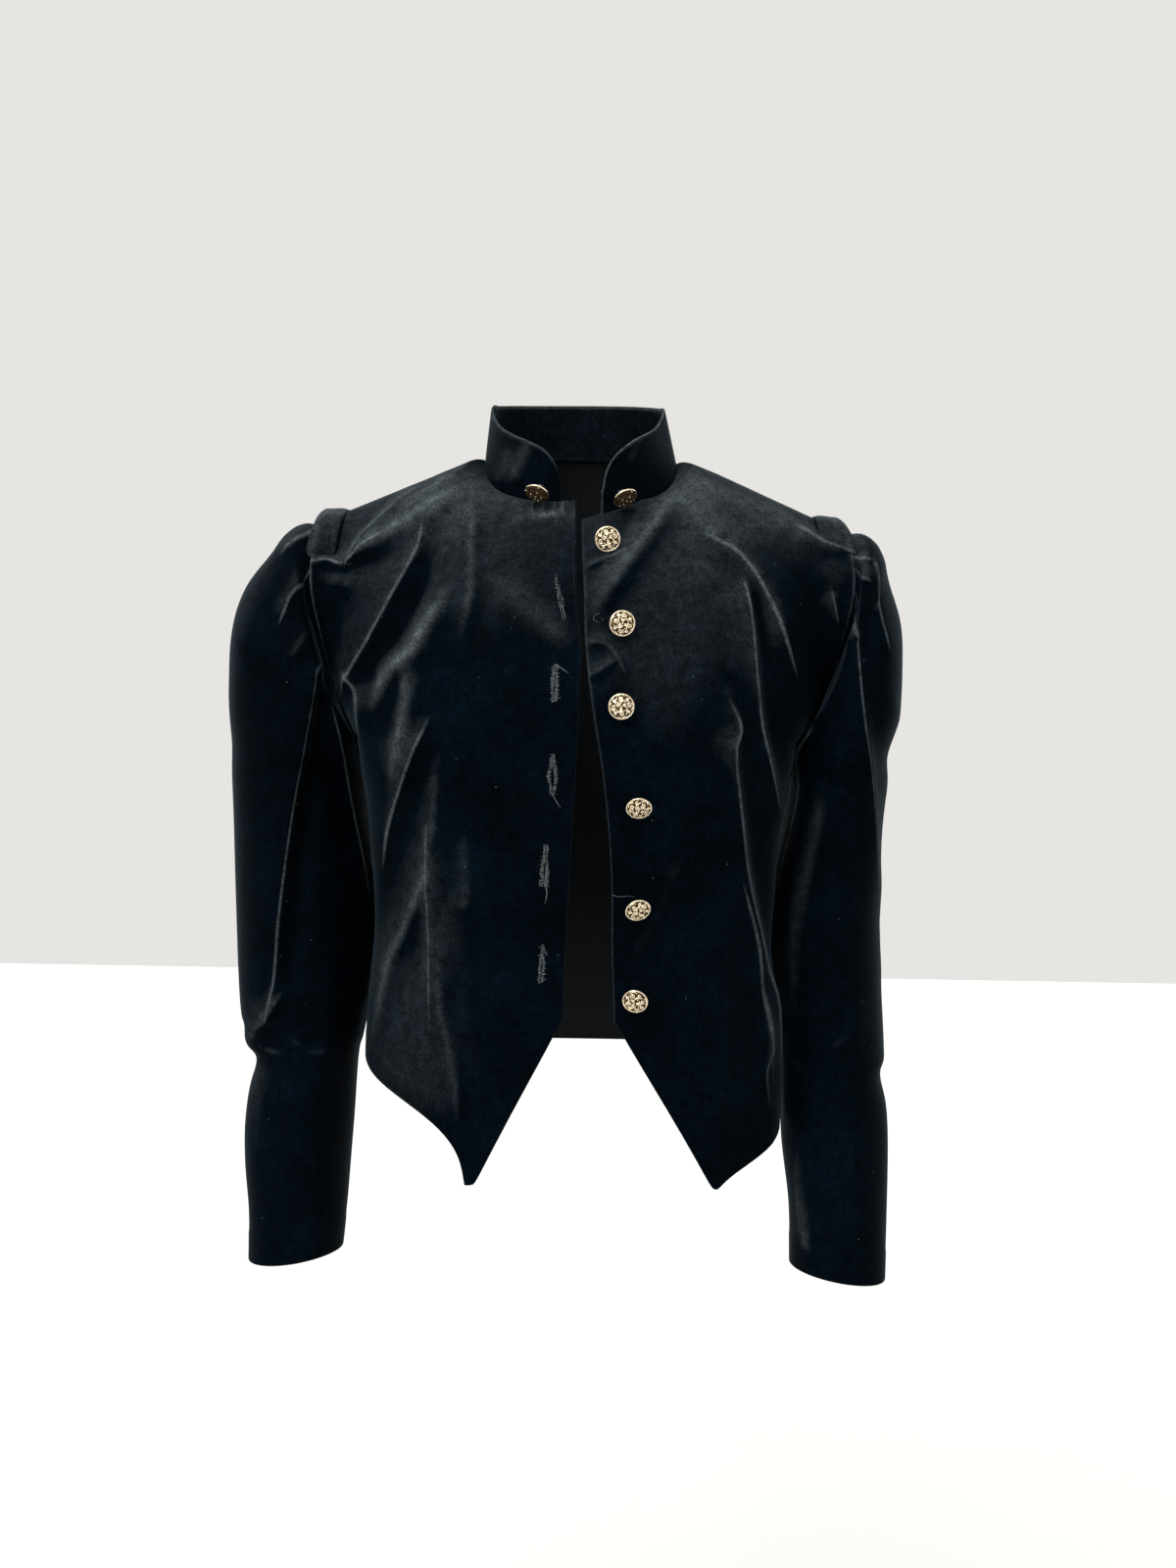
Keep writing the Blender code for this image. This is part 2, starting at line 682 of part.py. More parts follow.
def make_button(name, at, normal, tilt, turn, shank, material):
    """Domed button on its shank, standing on a cloth point and tipped about it."""
    rings = [(SHANK_RADIUS, 0.0), (SHANK_RADIUS, shank)]
    rings += [(BUTTON_RADIUS * share, shank + height) for share, height in BUTTON_OUTLINE]
    edit = bmesh.new()
    loops = []
    for radius, height in rings:
        loop = []
        for i in range(BUTTON_SIDES):
            a = 2 * math.pi * i / BUTTON_SIDES
            loop.append(edit.verts.new((radius * math.cos(a), radius * math.sin(a), height)))
        loops.append(loop)
    top = edit.verts.new((0, 0, shank + BUTTON_TOP))
    for near, far in zip(loops, loops[1:]):
        for i in range(BUTTON_SIDES):
            j = (i + 1) % BUTTON_SIDES
            edit.faces.new((near[i], near[j], far[j], far[i]))
    for i in range(BUTTON_SIDES):
        edit.faces.new((loops[-1][i], loops[-1][(i + 1) % BUTTON_SIDES], top))
    edit.faces.new(loops[0])
    aim = normal.to_track_quat("Z", "Y").to_matrix().to_4x4()
    tip = Matrix.Rotation(math.radians(tilt), 4, "X") @ Matrix.Rotation(math.radians(turn), 4, "Z")
    lift = SHANK_RADIUS * abs(math.sin(math.radians(tilt))) + BUTTON_GAP
    place = Matrix.Translation(at + normal * lift) @ tip @ aim
    bmesh.ops.transform(edit, matrix=place, verts=edit.verts[:])
    return finish_mesh(name, edit, material)


velvet = make_material("velvet", VELVET, 0.9, 0.0)
brass = make_material("brass", BRASS, 0.35, 1.0)

# Fronts
grids = {}
rows = panel_rows()
for side, name in ((RIGHT, "front_right"), (LEFT, "front_left")):
    cut = FRONT_CUTS[side]
    place = lambda a, r: front_point(cut, a, r)
    points, normals = panel_grid(place, front_columns(cut), rows, side, (1.0,))
    grids[side] = (points, normals)
    make_wall(name, points, offset(points, normals, -WALL), velvet)

# Back
back_columns = [-1 + 2 * i / BACK_COLUMNS for i in range(BACK_COLUMNS + 1)]
back_points, back_normals = panel_grid(back_point, back_columns, rows, -1, (-1.0, 1.0))
make_wall("back", back_points, offset(back_points, back_normals, -WALL), velvet)

# Sleeves
for side, name in ((RIGHT, "sleeve_right"), (LEFT, "sleeve_left")):
    rings = sleeve_rings(side)
    make_wall(name, rings, offset(rings, ring_normals(rings, side), -WALL), velvet, True)

# Shoulder pleats, from the points of the panels below them
for side, name in ((RIGHT, "shoulder_pleat_right"), (LEFT, "shoulder_pleat_left")):
    front, front_normals = grids[side]
    first = LOWER_ROWS + PLEAT_FIRST_ROW
    last = len(rows) - 1
    back_edge = BACK_COLUMNS if side == LEFT else 0
    back_in = back_edge - side
    path = []
    for r in range(first, last):
        path.append((front[r][-2], front_normals[r][-2], front[r][-1], front_normals[r][-1]))
    seam = (
        (front[last][-2] + back_points[last][back_in]) / 2,
        front_normals[last][-2],
        (front[last][-1] + back_points[last][back_edge]) / 2,
        front_normals[last][-1],
    )
    path.append(seam)
    for r in range(last - 1, first - 1, -1):
        line = back_points[r]
        line_normals = back_normals[r]
        path.append((line[back_in], line_normals[back_in], line[back_edge], line_normals[back_edge]))
    sections = []
    for i, (inner, inner_n, edge, edge_n) in enumerate(path):
        out = edge - inner
        out -= edge_n * out.dot(edge_n)
        out.normalize()
        share = ease(min(i, len(path) - 1 - i) / 2)
        share = PLEAT_END_SHARE + (1 - PLEAT_END_SHARE) * share
        high = PLEAT_HEIGHT * share
        over = PLEAT_OVERHANG * share
        clear = 2 * SEAM_GAP
        inner = inner.lerp(edge, 0.05)
        sections.append(
            (
                inner + inner_n * clear,
                edge + edge_n * clear,
                edge + out * over * 0.7 + edge_n * (clear + high * 0.15),
                edge + out * over + edge_n * (clear + high * 0.55),
                edge + out * over * 0.2 + edge_n * (clear + high),
                inner + inner_n * (clear + high),
            )
        )
    make_bar(name, sections, velvet)

# Collar, on the neckline points of the fronts and the back
base = []
top_row = len(rows) - 1
for c in range(COLLAR_FIRST_COLUMN, FRONT_NECK_COLUMN):
    base.append(grids[RIGHT][0][top_row][c])
middle_column = BACK_COLUMNS // 2
for c in range(middle_column - BACK_NECK_COLUMN, middle_column + BACK_NECK_COLUMN + 1):
    base.append(back_points[top_row][c])
for c in range(FRONT_NECK_COLUMN - 1, COLLAR_FIRST_COLUMN - 1, -1):
    base.append(grids[LEFT][0][top_row][c])
split = []
for i, (near, far) in enumerate(zip(base, base[1:])):
    parts = 3 if i in (0, len(base) - 2) else 1
    split += [near.lerp(far, k / parts) for k in range(parts)]
base = split + [base[-1]]
lengths = [0.0]
for near, far in zip(base, base[1:]):
    lengths.append(lengths[-1] + (far - near).length)
collar_points = [[] for _ in range(COLLAR_ROWS + 1)]
collar_normals = [[] for _ in range(COLLAR_ROWS + 1)]
for i, p in enumerate(base):
    from_end = min(lengths[i], lengths[-1] - lengths[i])
    corner = min(1.0, from_end / COLLAR_CORNER)
    rounded = math.sqrt(max(0.0, 1 - (1 - corner) ** 2))
    high = COLLAR_END_HEIGHT + (COLLAR_HEIGHT - COLLAR_END_HEIGHT) * rounded
    along = base[min(i + 1, len(base) - 1)] - base[max(i - 1, 0)]
    outward = Vector((-along.y, along.x, 0)).normalized()
    if outward.dot(Vector((p.x, p.y, 0))) < 0:
        outward.negate()
    lean = COLLAR_LEAN_FRONT
    lean += (COLLAR_LEAN_SIDE - COLLAR_LEAN_FRONT) * ease(from_end / 0.09)
    for k in range(COLLAR_ROWS + 1):
        share = k / COLLAR_ROWS
        up = Vector((0, 0, SEAM_GAP * 2 + high * share))
        collar_points[k].append(p + outward * (0.0004 - lean * share) + up)
        collar_normals[k].append(outward)
make_wall("collar", collar_points, offset(collar_points, collar_normals, -COLLAR_WALL), velvet)

# Buttons of the left front
left = FRONT_CUTS[LEFT]
for row in BUTTONS:
    out = edge_out(left, row.z) + row.from_edge
    across, rise = find_on_front(left, out, row.z)
    normal = face_normal(lambda a, r: front_point(left, a, r), across, rise, 0.0, 1.0)
    spot = front_point(left, across, rise)
    make_button(row.name, spot, normal, row.tilt, row.turn, FRONT_SHANK, brass)

# Buttons of the collar ends
for name, index in (("collar_button_right", 2), ("collar_button_left", len(base) - 3)):
    share = COLLAR_BUTTON_RISE / COLLAR_HEIGHT
    low = collar_points[0][index]
    high = collar_points[COLLAR_ROWS][index]
    spot = low.lerp(high, share)
    normal = collar_normals[0][index]
    make_button(name, spot, normal, COLLAR_BUTTON_TILT, 0, COLLAR_SHANK, brass)
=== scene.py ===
import math
import random
import bmesh
import bpy
import numpy as np
from mathutils import Matrix, Vector
from mathutils.bvhtree import BVHTree


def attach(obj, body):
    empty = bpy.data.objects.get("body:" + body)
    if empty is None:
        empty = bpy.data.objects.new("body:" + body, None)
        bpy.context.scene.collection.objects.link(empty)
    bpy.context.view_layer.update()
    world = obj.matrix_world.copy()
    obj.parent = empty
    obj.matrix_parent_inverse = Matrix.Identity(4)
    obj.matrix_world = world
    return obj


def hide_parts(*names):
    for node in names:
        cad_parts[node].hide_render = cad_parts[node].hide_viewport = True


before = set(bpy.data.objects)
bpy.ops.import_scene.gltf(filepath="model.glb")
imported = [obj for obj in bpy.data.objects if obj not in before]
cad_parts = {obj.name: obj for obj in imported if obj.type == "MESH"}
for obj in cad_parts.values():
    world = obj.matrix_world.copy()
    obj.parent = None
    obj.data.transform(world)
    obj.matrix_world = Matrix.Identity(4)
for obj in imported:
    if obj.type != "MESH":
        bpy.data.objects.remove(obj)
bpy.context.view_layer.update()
print("frame loaded,", len(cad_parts), "nodes")

left, right = 1, -1  # the wearer's sides
bothSides = ((right, "right"), (left, "left"))
mm = 0.001

# the camera stands at the picture's viewing place; creases are drawn in its 1200 x 1600 pixels
viewFrom = {"place": (0.00924, -1.4, -0.25), "away": 1.4, "lens": 40.9, "sensor": 36, "roll": 1.0,
            "pixel": 0.00077, "middle": (600, 800)}
rollTurn = math.radians(viewFrom["roll"])


def seenAt(points):  # pixel place of points in metres
    ahead = (points[..., 1] - viewFrom["place"][1]) / viewFrom["away"] * viewFrom["pixel"]
    x = (points[..., 0] - viewFrom["place"][0]) / ahead
    y = (viewFrom["place"][2] - points[..., 2]) / ahead
    c, s = math.cos(rollTurn), math.sin(rollTurn)
    return viewFrom["middle"][0] + c * x - s * y, viewFrom["middle"][1] + c * y + s * x


def hitCloth(tree, px, py):  # place and normal of the cloth seen at a pixel
    c, s = math.cos(rollTurn), math.sin(rollTurn)
    dx, dy = px - viewFrom["middle"][0], py - viewFrom["middle"][1]
    across, down = (c * dx + s * dy) * viewFrom["pixel"], (c * dy - s * dx) * viewFrom["pixel"]
    aim = Vector((across, viewFrom["away"], -down))
    spot, normal, _, _ = tree.ray_cast(Vector(viewFrom["place"]), aim.normalized())
    if normal.y > 0:
        normal = -normal
    return spot, normal


def ease(t):
    t = np.clip(t, 0, 1)
    return t * t * (3 - 2 * t)


def smoothLine(spots, values, at):  # smooth curve through values, level past the ends
    spots, values = np.asarray(spots, float), np.asarray(values, float)
    slope = np.zeros(len(spots))
    slope[1:-1] = (values[2:] - values[:-2]) / (spots[2:] - spots[:-2])
    at = np.clip(at, spots[0], spots[-1])
    i = np.clip(np.searchsorted(spots, at) - 1, 0, len(spots) - 2)
    span = spots[i + 1] - spots[i]
    t = (at - spots[i]) / span
    return (
        (2 * t**3 - 3 * t**2 + 1) * values[i]
        + (t**3 - 2 * t**2 + t) * span * slope[i]
        + (3 * t**2 - 2 * t**3) * values[i + 1]
        + (t**3 - t**2) * span * slope[i + 1]
    )


def bell(at, middle, reach):
    return np.exp(-(((at - middle) / reach) ** 2))


# body of the jacket, metres; the lists run up the body with its levels
bodyForm = {
    "levels": (-0.560, -0.470, -0.400, -0.350, -0.280, -0.215),
    "halfWidth": (0.157, 0.161, 0.157, 0.155, 0.160, 0.170),
    "frontDepth": (0.106, 0.110, 0.110, 0.112, 0.121, 0.127),
    "backDepth": (0.102, 0.100, 0.093, 0.090, 0.095, 0.100),
    "bust": -0.215, "boxy": 2.5, "seamHalf": 0.00015, "seamTurn": 0.0015, "tipRound": 0.0034, "backHem": -0.464,
    "neckHalf": 0.0745, "neckZ": 0.003, "neckFront": (-0.078, -0.041), "neckBack": (0.062, 0.016),
    "frontNeckPart": 0.25, "backNeckShare": 0.4, "frontCurl": (55, 35), "backCurl": (70, 20),
    "tip": (0.198, -0.049), "shoulderSag": 0.001, "scoopFront": 0.060, "scoopBack": 0.052, "scoopPower": 0.7,
    "flare": 0.022, "flarePower": 0.6, "flareFade": (0.6, 0.4, 0.5), "overSleeve": {right: 0.004, left: 0.009},
}
# cut of the two fronts; edgeOut is how far each edge hangs from the middle plane
edgeLevels = (-0.425, -0.370, -0.315, -0.250, -0.190, -0.150, -0.115, -0.040)
frontCut = {
    right: {"corner": -0.421, "pointShare": 0.262, "blunt": 0.030, "point": -0.545, "rise": 0.090, "power": 0.30,
            "lateRise": 0.0, "sideShift": 0, "neckDrop": (-0.002, 0.022, 2),
            "edgeOut": (0.0063, 0.0050, 0.0030, 0.0, -0.0018, -0.0030, 0.0010, 0.0030)},
    left: {"corner": -0.421, "pointShare": 0.296, "blunt": 0.014, "point": -0.5465, "rise": 0.050, "power": 0.50,
           "lateRise": 0.033, "sideShift": 19, "neckDrop": (0.0125, 0.045, 1),
           "edgeOut": (0.0310, 0.0286, 0.0272, 0.0207, 0.0105, 0.0056, 0.0040, 0.0004)},
}


def bodyRing(turn, z):  # outward and forward place on the body; turn 0 is the middle of the front
    halfWidth = smoothLine(bodyForm["levels"], bodyForm["halfWidth"], z)
    front = smoothLine(bodyForm["levels"], bodyForm["frontDepth"], z)
    back = smoothLine(bodyForm["levels"], bodyForm["backDepth"], z)
    s, c = np.sin(turn), np.cos(turn)
    boxy = (np.abs(s) ** bodyForm["boxy"] + np.abs(c) ** bodyForm["boxy"]) ** (-1 / bodyForm["boxy"])
    return halfWidth * s * boxy, -np.where(c >= 0, front, back) * c * boxy


def hemHeight(cut, across):  # lower edge of a front, its point cut blunt and rounded
    share = cut["pointShare"] + cut["blunt"]
    point = cut["point"] - (cut["corner"] - cut["point"]) * cut["blunt"] / cut["pointShare"]
    q = np.clip((across - share) / (1 - share), 0, 1)
    slant = cut["corner"] + (point - cut["corner"]) * across / share
    rest = point + (cut["rise"] + cut["point"] - point) * q ** cut["power"]
    rest = rest + cut["lateRise"] * ease((q - 0.5) / 0.5)
    above = np.where(across <= share, slant, rest) - cut["point"]
    return cut["point"] + (above + np.sqrt(above**2 + bodyForm["tipRound"] ** 2)) / 2


def shoulderLine(q):  # outward place and height of the shoulder seam, neck to tip
    tipX, tipZ = bodyForm["tip"]
    z = bodyForm["neckZ"] + (tipZ - bodyForm["neckZ"]) * q - bodyForm["shoulderSag"] * np.sin(np.pi * q)
    return bodyForm["neckHalf"] + (tipX - bodyForm["neckHalf"]) * q, z


def armholeSwing(high):
    return np.clip(np.sin(np.pi * high), 0, 1)


def armholeFlare(high):
    drop, start, span = bodyForm["flareFade"]
    return bodyForm["flare"] * armholeSwing(high) ** bodyForm["flarePower"] * (1 - drop * ease((high - start) / span))


def neckShare(cut):  # where the neckline of a front meets its shoulder seam
    return cut["pointShare"] + (1 - cut["pointShare"]) * bodyForm["frontNeckPart"]


def frontPoints(side, across, rise):  # rise 0 hem, 1 bust line, 2 neck and shoulder
    cut, form = frontCut[side], bodyForm
    across, rise = np.broadcast_arrays(np.asarray(across, float), np.asarray(rise, float))
    low, high = np.minimum(rise, 1), np.clip(rise - 1, 0, 1)
    hem = hemHeight(cut, across)
    zLow = hem + (form["bust"] - hem) * low
    outLow, yLow = bodyRing(across * (np.radians(90 + cut["sideShift"] * (1 - low)) - form["seamTurn"]), zLow)
    neck = neckShare(cut)
    beta = np.clip(across / neck, 0, 1) * np.pi / 2
    c = np.clip(np.cos(beta), 0, 1)
    neckOut = form["neckHalf"] * np.sin(beta)
    neckZ = form["neckZ"] + (form["neckFront"][1] - form["neckZ"]) * c * (1.5 - 0.5 * c)
    drop, far, power = cut["neckDrop"]
    neckZ = neckZ - drop * np.clip(1 - neckOut / far, 0, 1) ** power
    seamOut, seamZ = shoulderLine(np.clip((across - neck) / (1 - neck), 0, 1))
    onSeam = across >= neck
    topOut = np.where(onSeam, seamOut, neckOut)
    topY = np.where(onSeam, 0, form["neckFront"][0] * c) - form["seamHalf"]
    topZ = np.where(onSeam, seamZ, neckZ)
    end = np.radians(form["frontCurl"][0] + form["frontCurl"][1] * ease(across / neck))
    lift = high * end
    up, back = np.sin(lift) / np.sin(end), (1 - np.cos(lift)) / (1 - np.cos(end))
    bustOut, bustY = bodyRing(across * (np.pi / 2 - form["seamTurn"]), np.full(across.shape, form["bust"]))
    swing = armholeSwing(high)
    outHigh = bustOut + (topOut - bustOut) * back + armholeFlare(high) * across**3
    outHigh = outHigh + form["overSleeve"][side] * swing ** form["flarePower"] * across**5
    yHigh = bustY + (topY - bustY) * back - form["scoopFront"] * swing ** form["scoopPower"] * across**3
    zHigh = form["bust"] + (topZ - form["bust"]) * up
    above = rise > 1
    z = np.where(above, zHigh, zLow)
    out = np.where(above, outHigh, outLow)
    out = out + smoothLine(edgeLevels, cut["edgeOut"], z) * (1 - np.sin(across * np.pi / 2))
    return np.stack((side * out, np.where(above, yHigh, yLow), z), -1)


def backPoints(across, rise):  # across -1 at the right side to 1 at the left side
    form = bodyForm
    across, rise = np.broadcast_arrays(np.asarray(across, float), np.asarray(rise, float))
    size, low, high = np.abs(across), np.minimum(rise, 1), np.clip(rise - 1, 0, 1)
    one = np.ones(across.shape)
    sideHem = np.where(across >= 0, hemHeight(frontCut[left], one), hemHeight(frontCut[right], one))
    shift = np.where(across > 0, frontCut[left]["sideShift"], frontCut[right]["sideShift"])
    hem = form["backHem"] + (sideHem - form["backHem"]) * size**2
    zLow = hem + (form["bust"] - hem) * low
    outLow, yLow = bodyRing(np.pi - size * (np.radians(90 - shift * (1 - low)) - form["seamTurn"]), zLow)
    neck = form["backNeckShare"]
    beta = np.clip(size / neck, 0, 1) * np.pi / 2
    c = np.cos(beta)
    seamOut, seamZ = shoulderLine(np.clip((size - neck) / (1 - neck), 0, 1))
    onSeam = size >= neck
    topOut = np.where(onSeam, seamOut, form["neckHalf"] * np.sin(beta))
    topY = np.where(onSeam, 0, form["neckBack"][0] * c) + form["seamHalf"]
    topZ = np.where(onSeam, seamZ, form["neckZ"] + (form["neckBack"][1] - form["neckZ"]) * c)
    end = np.radians(form["backCurl"][0] + form["backCurl"][1] * ease(size / neck))
    lift = high * end
    up, ahead = np.sin(lift) / np.sin(end), (1 - np.cos(lift)) / (1 - np.cos(end))
    bustOut, bustY = bodyRing(np.pi - size * (np.pi / 2 - form["seamTurn"]), np.full(across.shape, form["bust"]))
    swing = armholeSwing(high)
    outHigh = bustOut + (topOut - bustOut) * ahead + armholeFlare(high) * size**3
    yHigh = bustY + (topY - bustY) * ahead + form["scoopBack"] * swing ** form["scoopPower"] * size**3
    above = rise > 1
    z = np.where(above, form["bust"] + (topZ - form["bust"]) * up, zLow)
    out = np.where(above, outHigh, outLow)
    return np.stack((np.sign(across) * out, np.where(above, yHigh, yLow), z), -1)


def gridNormals(points, flip, wraps=False):
    if wraps:
        wide = np.concatenate((points[:, -2:-1], points, points[:, 1:2]), 1)
        across = wide[:, 2:] - wide[:, :-2]
    else:
        across = np.gradient(points, axis=1)
    normals = np.cross(across, np.gradient(points, axis=0)) * flip
    return normals / np.maximum(np.linalg.norm(normals, axis=-1, keepdims=True), 1e-9)


def reach(points, axis):  # metres from the first and from the last line of a grid
    step = np.linalg.norm(np.diff(points, axis=axis), axis=-1)
    run = np.cumsum(step, axis=axis)
    start = np.zeros_like(np.take(run, [0], axis=axis))
    run = np.concatenate((start, run), axis=axis)
    return run, np.take(run, [-1], axis=axis) - run


def turnedEdge(away, radius):  # how far a folded edge sinks, so that it looks rounded
    near = np.clip(radius - away, 0, radius)
    return radius - np.sqrt(np.maximum(radius**2 - near**2, 0))


def bentLine(points, count=28):  # smooth path through drawn points
    points = np.asarray(points, float)
    spots = np.linspace(0, 1, len(points))
    at = np.linspace(0, 1, count)
    if len(points) < 3:
        return np.stack([np.interp(at, spots, points[:, k]) for k in (0, 1)], -1)
    ends = np.vstack((2 * points[0] - points[1], points, 2 * points[-1] - points[-2]))
    spots = np.arange(-1, len(points) + 1) / (len(points) - 1)
    return np.stack([smoothLine(spots, ends[:, k], at) for k in (0, 1)], -1)


# how creases run out at their ends, fall to both sides and are painted pale along the top as a highlight
creaseShape = {
    "fade": (0.06, 0.30, 0.35), "fall": 1.7, "steepBelow": 0.7, "hollow": (0.38, 2.7, 1.5), "narrow": 3,
    "paleFall": 1.6, "halo": (0.30, 2.4, 1.4), "lineHalf": 2.2, "lineFade": (0.02, 0.12, 0.20), "lineReach": 4,
    "layers": 2, "far": 1e6,
}


def nearestOn(line, u, v):  # distance to a path, side of it and share along it
    best, side, share = np.full(u.shape, 1e9), np.zeros(u.shape), np.zeros(u.shape)
    for i, (a, b) in enumerate(zip(line, line[1:])):
        d = b - a
        t = np.clip(((u - a[0]) * d[0] + (v - a[1]) * d[1]) / max(d @ d, 1e-9), 0, 1)
        away = np.hypot(u - a[0] - t * d[0], v - a[1] - t * d[1])
        nearer = away < best
        best = np.where(nearer, away, best)
        side = np.where(nearer, d[0] * (v - a[1]) - d[1] * (u - a[0]), side)
        share = np.where(nearer, (i + t) / (len(line) - 1), share)
    return best, side, share


def runOut(share, past, start, stop):  # 1 along a crease, fading at its two ends
    return ease((share + past) / start) * ease((1 + past - share) / stop)


# a crease row: path, reach on its right and left hand, height in mm, pale share and reach of its crest; the pale is a
# painted highlight along the fold, partly pile that splays over it
# narrow crests are kept as signed distances in two layers, so that they stay crisp between vertices
def creaseField(u, v, creases, patches=()):
    look = creaseShape
    height, crest = np.zeros(u.shape), np.zeros(u.shape)
    lines = [[np.full(u.shape, look["far"]), np.zeros(u.shape)] for _ in range(look["layers"])]
    for row, (path, rightReach, leftReach, high, pale, paleReach) in enumerate(creases):
        best, side, share = nearestOn(bentLine(path), u, v)
        fade = runOut(share, *look["fade"])
        wide = np.where(side > 0, rightReach, leftReach)
        shape = np.exp(-((best / wide) ** look["fall"]))
        # a fold with one steep side has a hollow at the foot of it
        steep = (wide < look["steepBelow"] * max(rightReach, leftReach)) & (high > 0)
        deep, foot, spread = look["hollow"]
        shape -= np.where(steep, deep * bell(best, foot * wide, spread * wide), 0)
        height += high * mm * fade * shape
        if paleReach > look["narrow"]:
            crest += pale * fade * np.exp(-((best / paleReach) ** look["paleFall"]))
            continue
        part, wider, fall = look["halo"]
        crest += part * pale * fade * np.exp(-((best / (wider * paleReach)) ** fall))
        away, amount = lines[row % look["layers"]]
        signed = best * np.where(side > 0, 1, -1) * look["lineHalf"] / paleReach
        nearer = np.abs(signed) < np.abs(away)
        away[...] = np.where(nearer, signed, away)
        near = 1 - ease((np.abs(signed) - look["lineReach"]) / look["lineReach"])
        amount[...] = np.where(nearer, pale * runOut(share, *look["lineFade"]) * near, amount)
    for (x, y), (halfX, halfY), tilt, pale in patches:  # painted light and brushed pile in soft patches, painted shade where a share is below zero
        c, n = math.cos(math.radians(tilt)), math.sin(math.radians(tilt))
        a, b = (c * (u - x) + n * (v - y)) / halfX, (c * (v - y) - n * (u - x)) / halfY
        crest += pale * np.exp(-(a * a + b * b))
    return height, crest, lines


slowWaves = {"count": 7, "first": 25, "step": 12, "fade": 0.5}


def softWaves(points, seed, size):  # slow uneven swell of hanging cloth, metres
    rng = random.Random(seed)
    total = np.zeros(points.shape[:-1])
    for i in range(slowWaves["count"]):
        k = np.array([rng.uniform(-1, 1) for _ in range(3)]) * (slowWaves["first"] + slowWaves["step"] * i)
        total += np.sin(points @ k + rng.uniform(0, 6.28)) / (1 + slowWaves["fade"] * i)
    return total * size


def tightStops(count):  # places 0 to 1, close together at both ends for the turned edges
    ends = np.array((0, 0.0012, 0.0026, 0.0044, 0.0068, 0.0100, 0.0145))
    return np.concatenate((ends, np.linspace(0.02, 0.98, count), 1 - ends[::-1]))


# materials

def linear(hexColour):  # sRGB hex to linear
    parts = [int(hexColour[i:i + 2], 16) / 255 for i in (1, 3, 5)]
    return [p / 12.92 if p <= 0.04045 else ((p + 0.055) / 1.055) ** 2.4 for p in parts] + [1.0]


def addNode(tree, kind, settings, links=None):
    made = tree.nodes.new(kind)
    for key, value in settings.items():
        if isinstance(key, int) or key in made.inputs:
            made.inputs[key].default_value = value
        else:
            setattr(made, key, value)
    for key, source in (links or {}).items():
        tree.links.new(source, made.inputs[key])
    return made


def newMaterial(name):
    made = bpy.data.materials.new(name)
    made.use_nodes = True
    tree = made.node_tree
    return made, tree, tree.nodes["Principled BSDF"]


def noise(tree, place, size, detail, rough=0.5):
    settings = {"Scale": 1 / size, "Detail": detail, "Roughness": rough}
    return addNode(tree, "ShaderNodeTexNoise", settings, {"Vector": place}).outputs[0]


def mapped(tree, source, low, high, toLow, toHigh, kind="LINEAR"):
    settings = {"interpolation_type": kind, 1: low, 2: high, 3: toLow, 4: toHigh}
    return addNode(tree, "ShaderNodeMapRange", settings, {0: source}).outputs[0]


def worked(tree, operation, *sources, clamp=False):
    settings = {"operation": operation, "use_clamp": clamp}
    return addNode(tree, "ShaderNodeMath", settings, dict(enumerate(sources))).outputs[0]


def blended(tree, share, *colours):  # each colour is a hex or a socket
    settings, links = {"data_type": "RGBA"}, {0: share}
    for slot, colour in zip((6, 7), colours):
        if isinstance(colour, str):
            settings[slot] = linear(colour)
        else:
            links[slot] = colour
    return addNode(tree, "ShaderNodeMix", settings, links).outputs[2]


def attribute(tree, name):
    return addNode(tree, "ShaderNodeAttribute", {"attribute_name": name}).outputs["Fac"]


def objectPlace(tree):
    return addNode(tree, "ShaderNodeTexCoord", {}).outputs["Object"]


def finishShader(tree, shader, colour, constants, height=None, bump=None):
    tree.links.new(colour, shader.inputs["Base Color"])
    if bump:
        settings = dict(zip(("Strength", "Distance"), bump))
        raised = addNode(tree, "ShaderNodeBump", settings, {"Height": height})
        tree.links.new(raised.outputs[0], shader.inputs["Normal"])
    for key, value in constants.items():
        shader.inputs[key].default_value = value


# a noise has its size, detail and roughness; a spread maps one range to another
velvetLook = {
    "deep": "#000409", "open": "#020b14", "crest": "#646c6f", "lint": "#8d9497", "sheenTint": "#93b2c6",
    "patch": (46 * mm, 4.0, 0.6), "patchSpread": (0.36, 0.72, 0.0, 1.0),
    "brush": (8 * mm, 5.0, 0.7), "brushSpread": (0.3, 0.7, 0.45, 1.55),
    "pile": (1.8 * mm, 3.0, 0.7), "pileSpread": (0.3, 0.7, 0.40, 1.60), "pileBump": (0.5, 0.0006),
    "foldSpread": (0.1, creaseShape["lineHalf"], 1.0, 0.0), "paintedShadeSpread": (-0.30, 0.0, 0.25, 1.0),
    "lintGap": 17 * mm, "lintSpread": (0.018, 0.030, 0.35, 0.0),
    "shader": {"Roughness": 0.82, "Specular IOR Level": 0.02, "Sheen Weight": 0.13, "Sheen Roughness": 0.28},
}


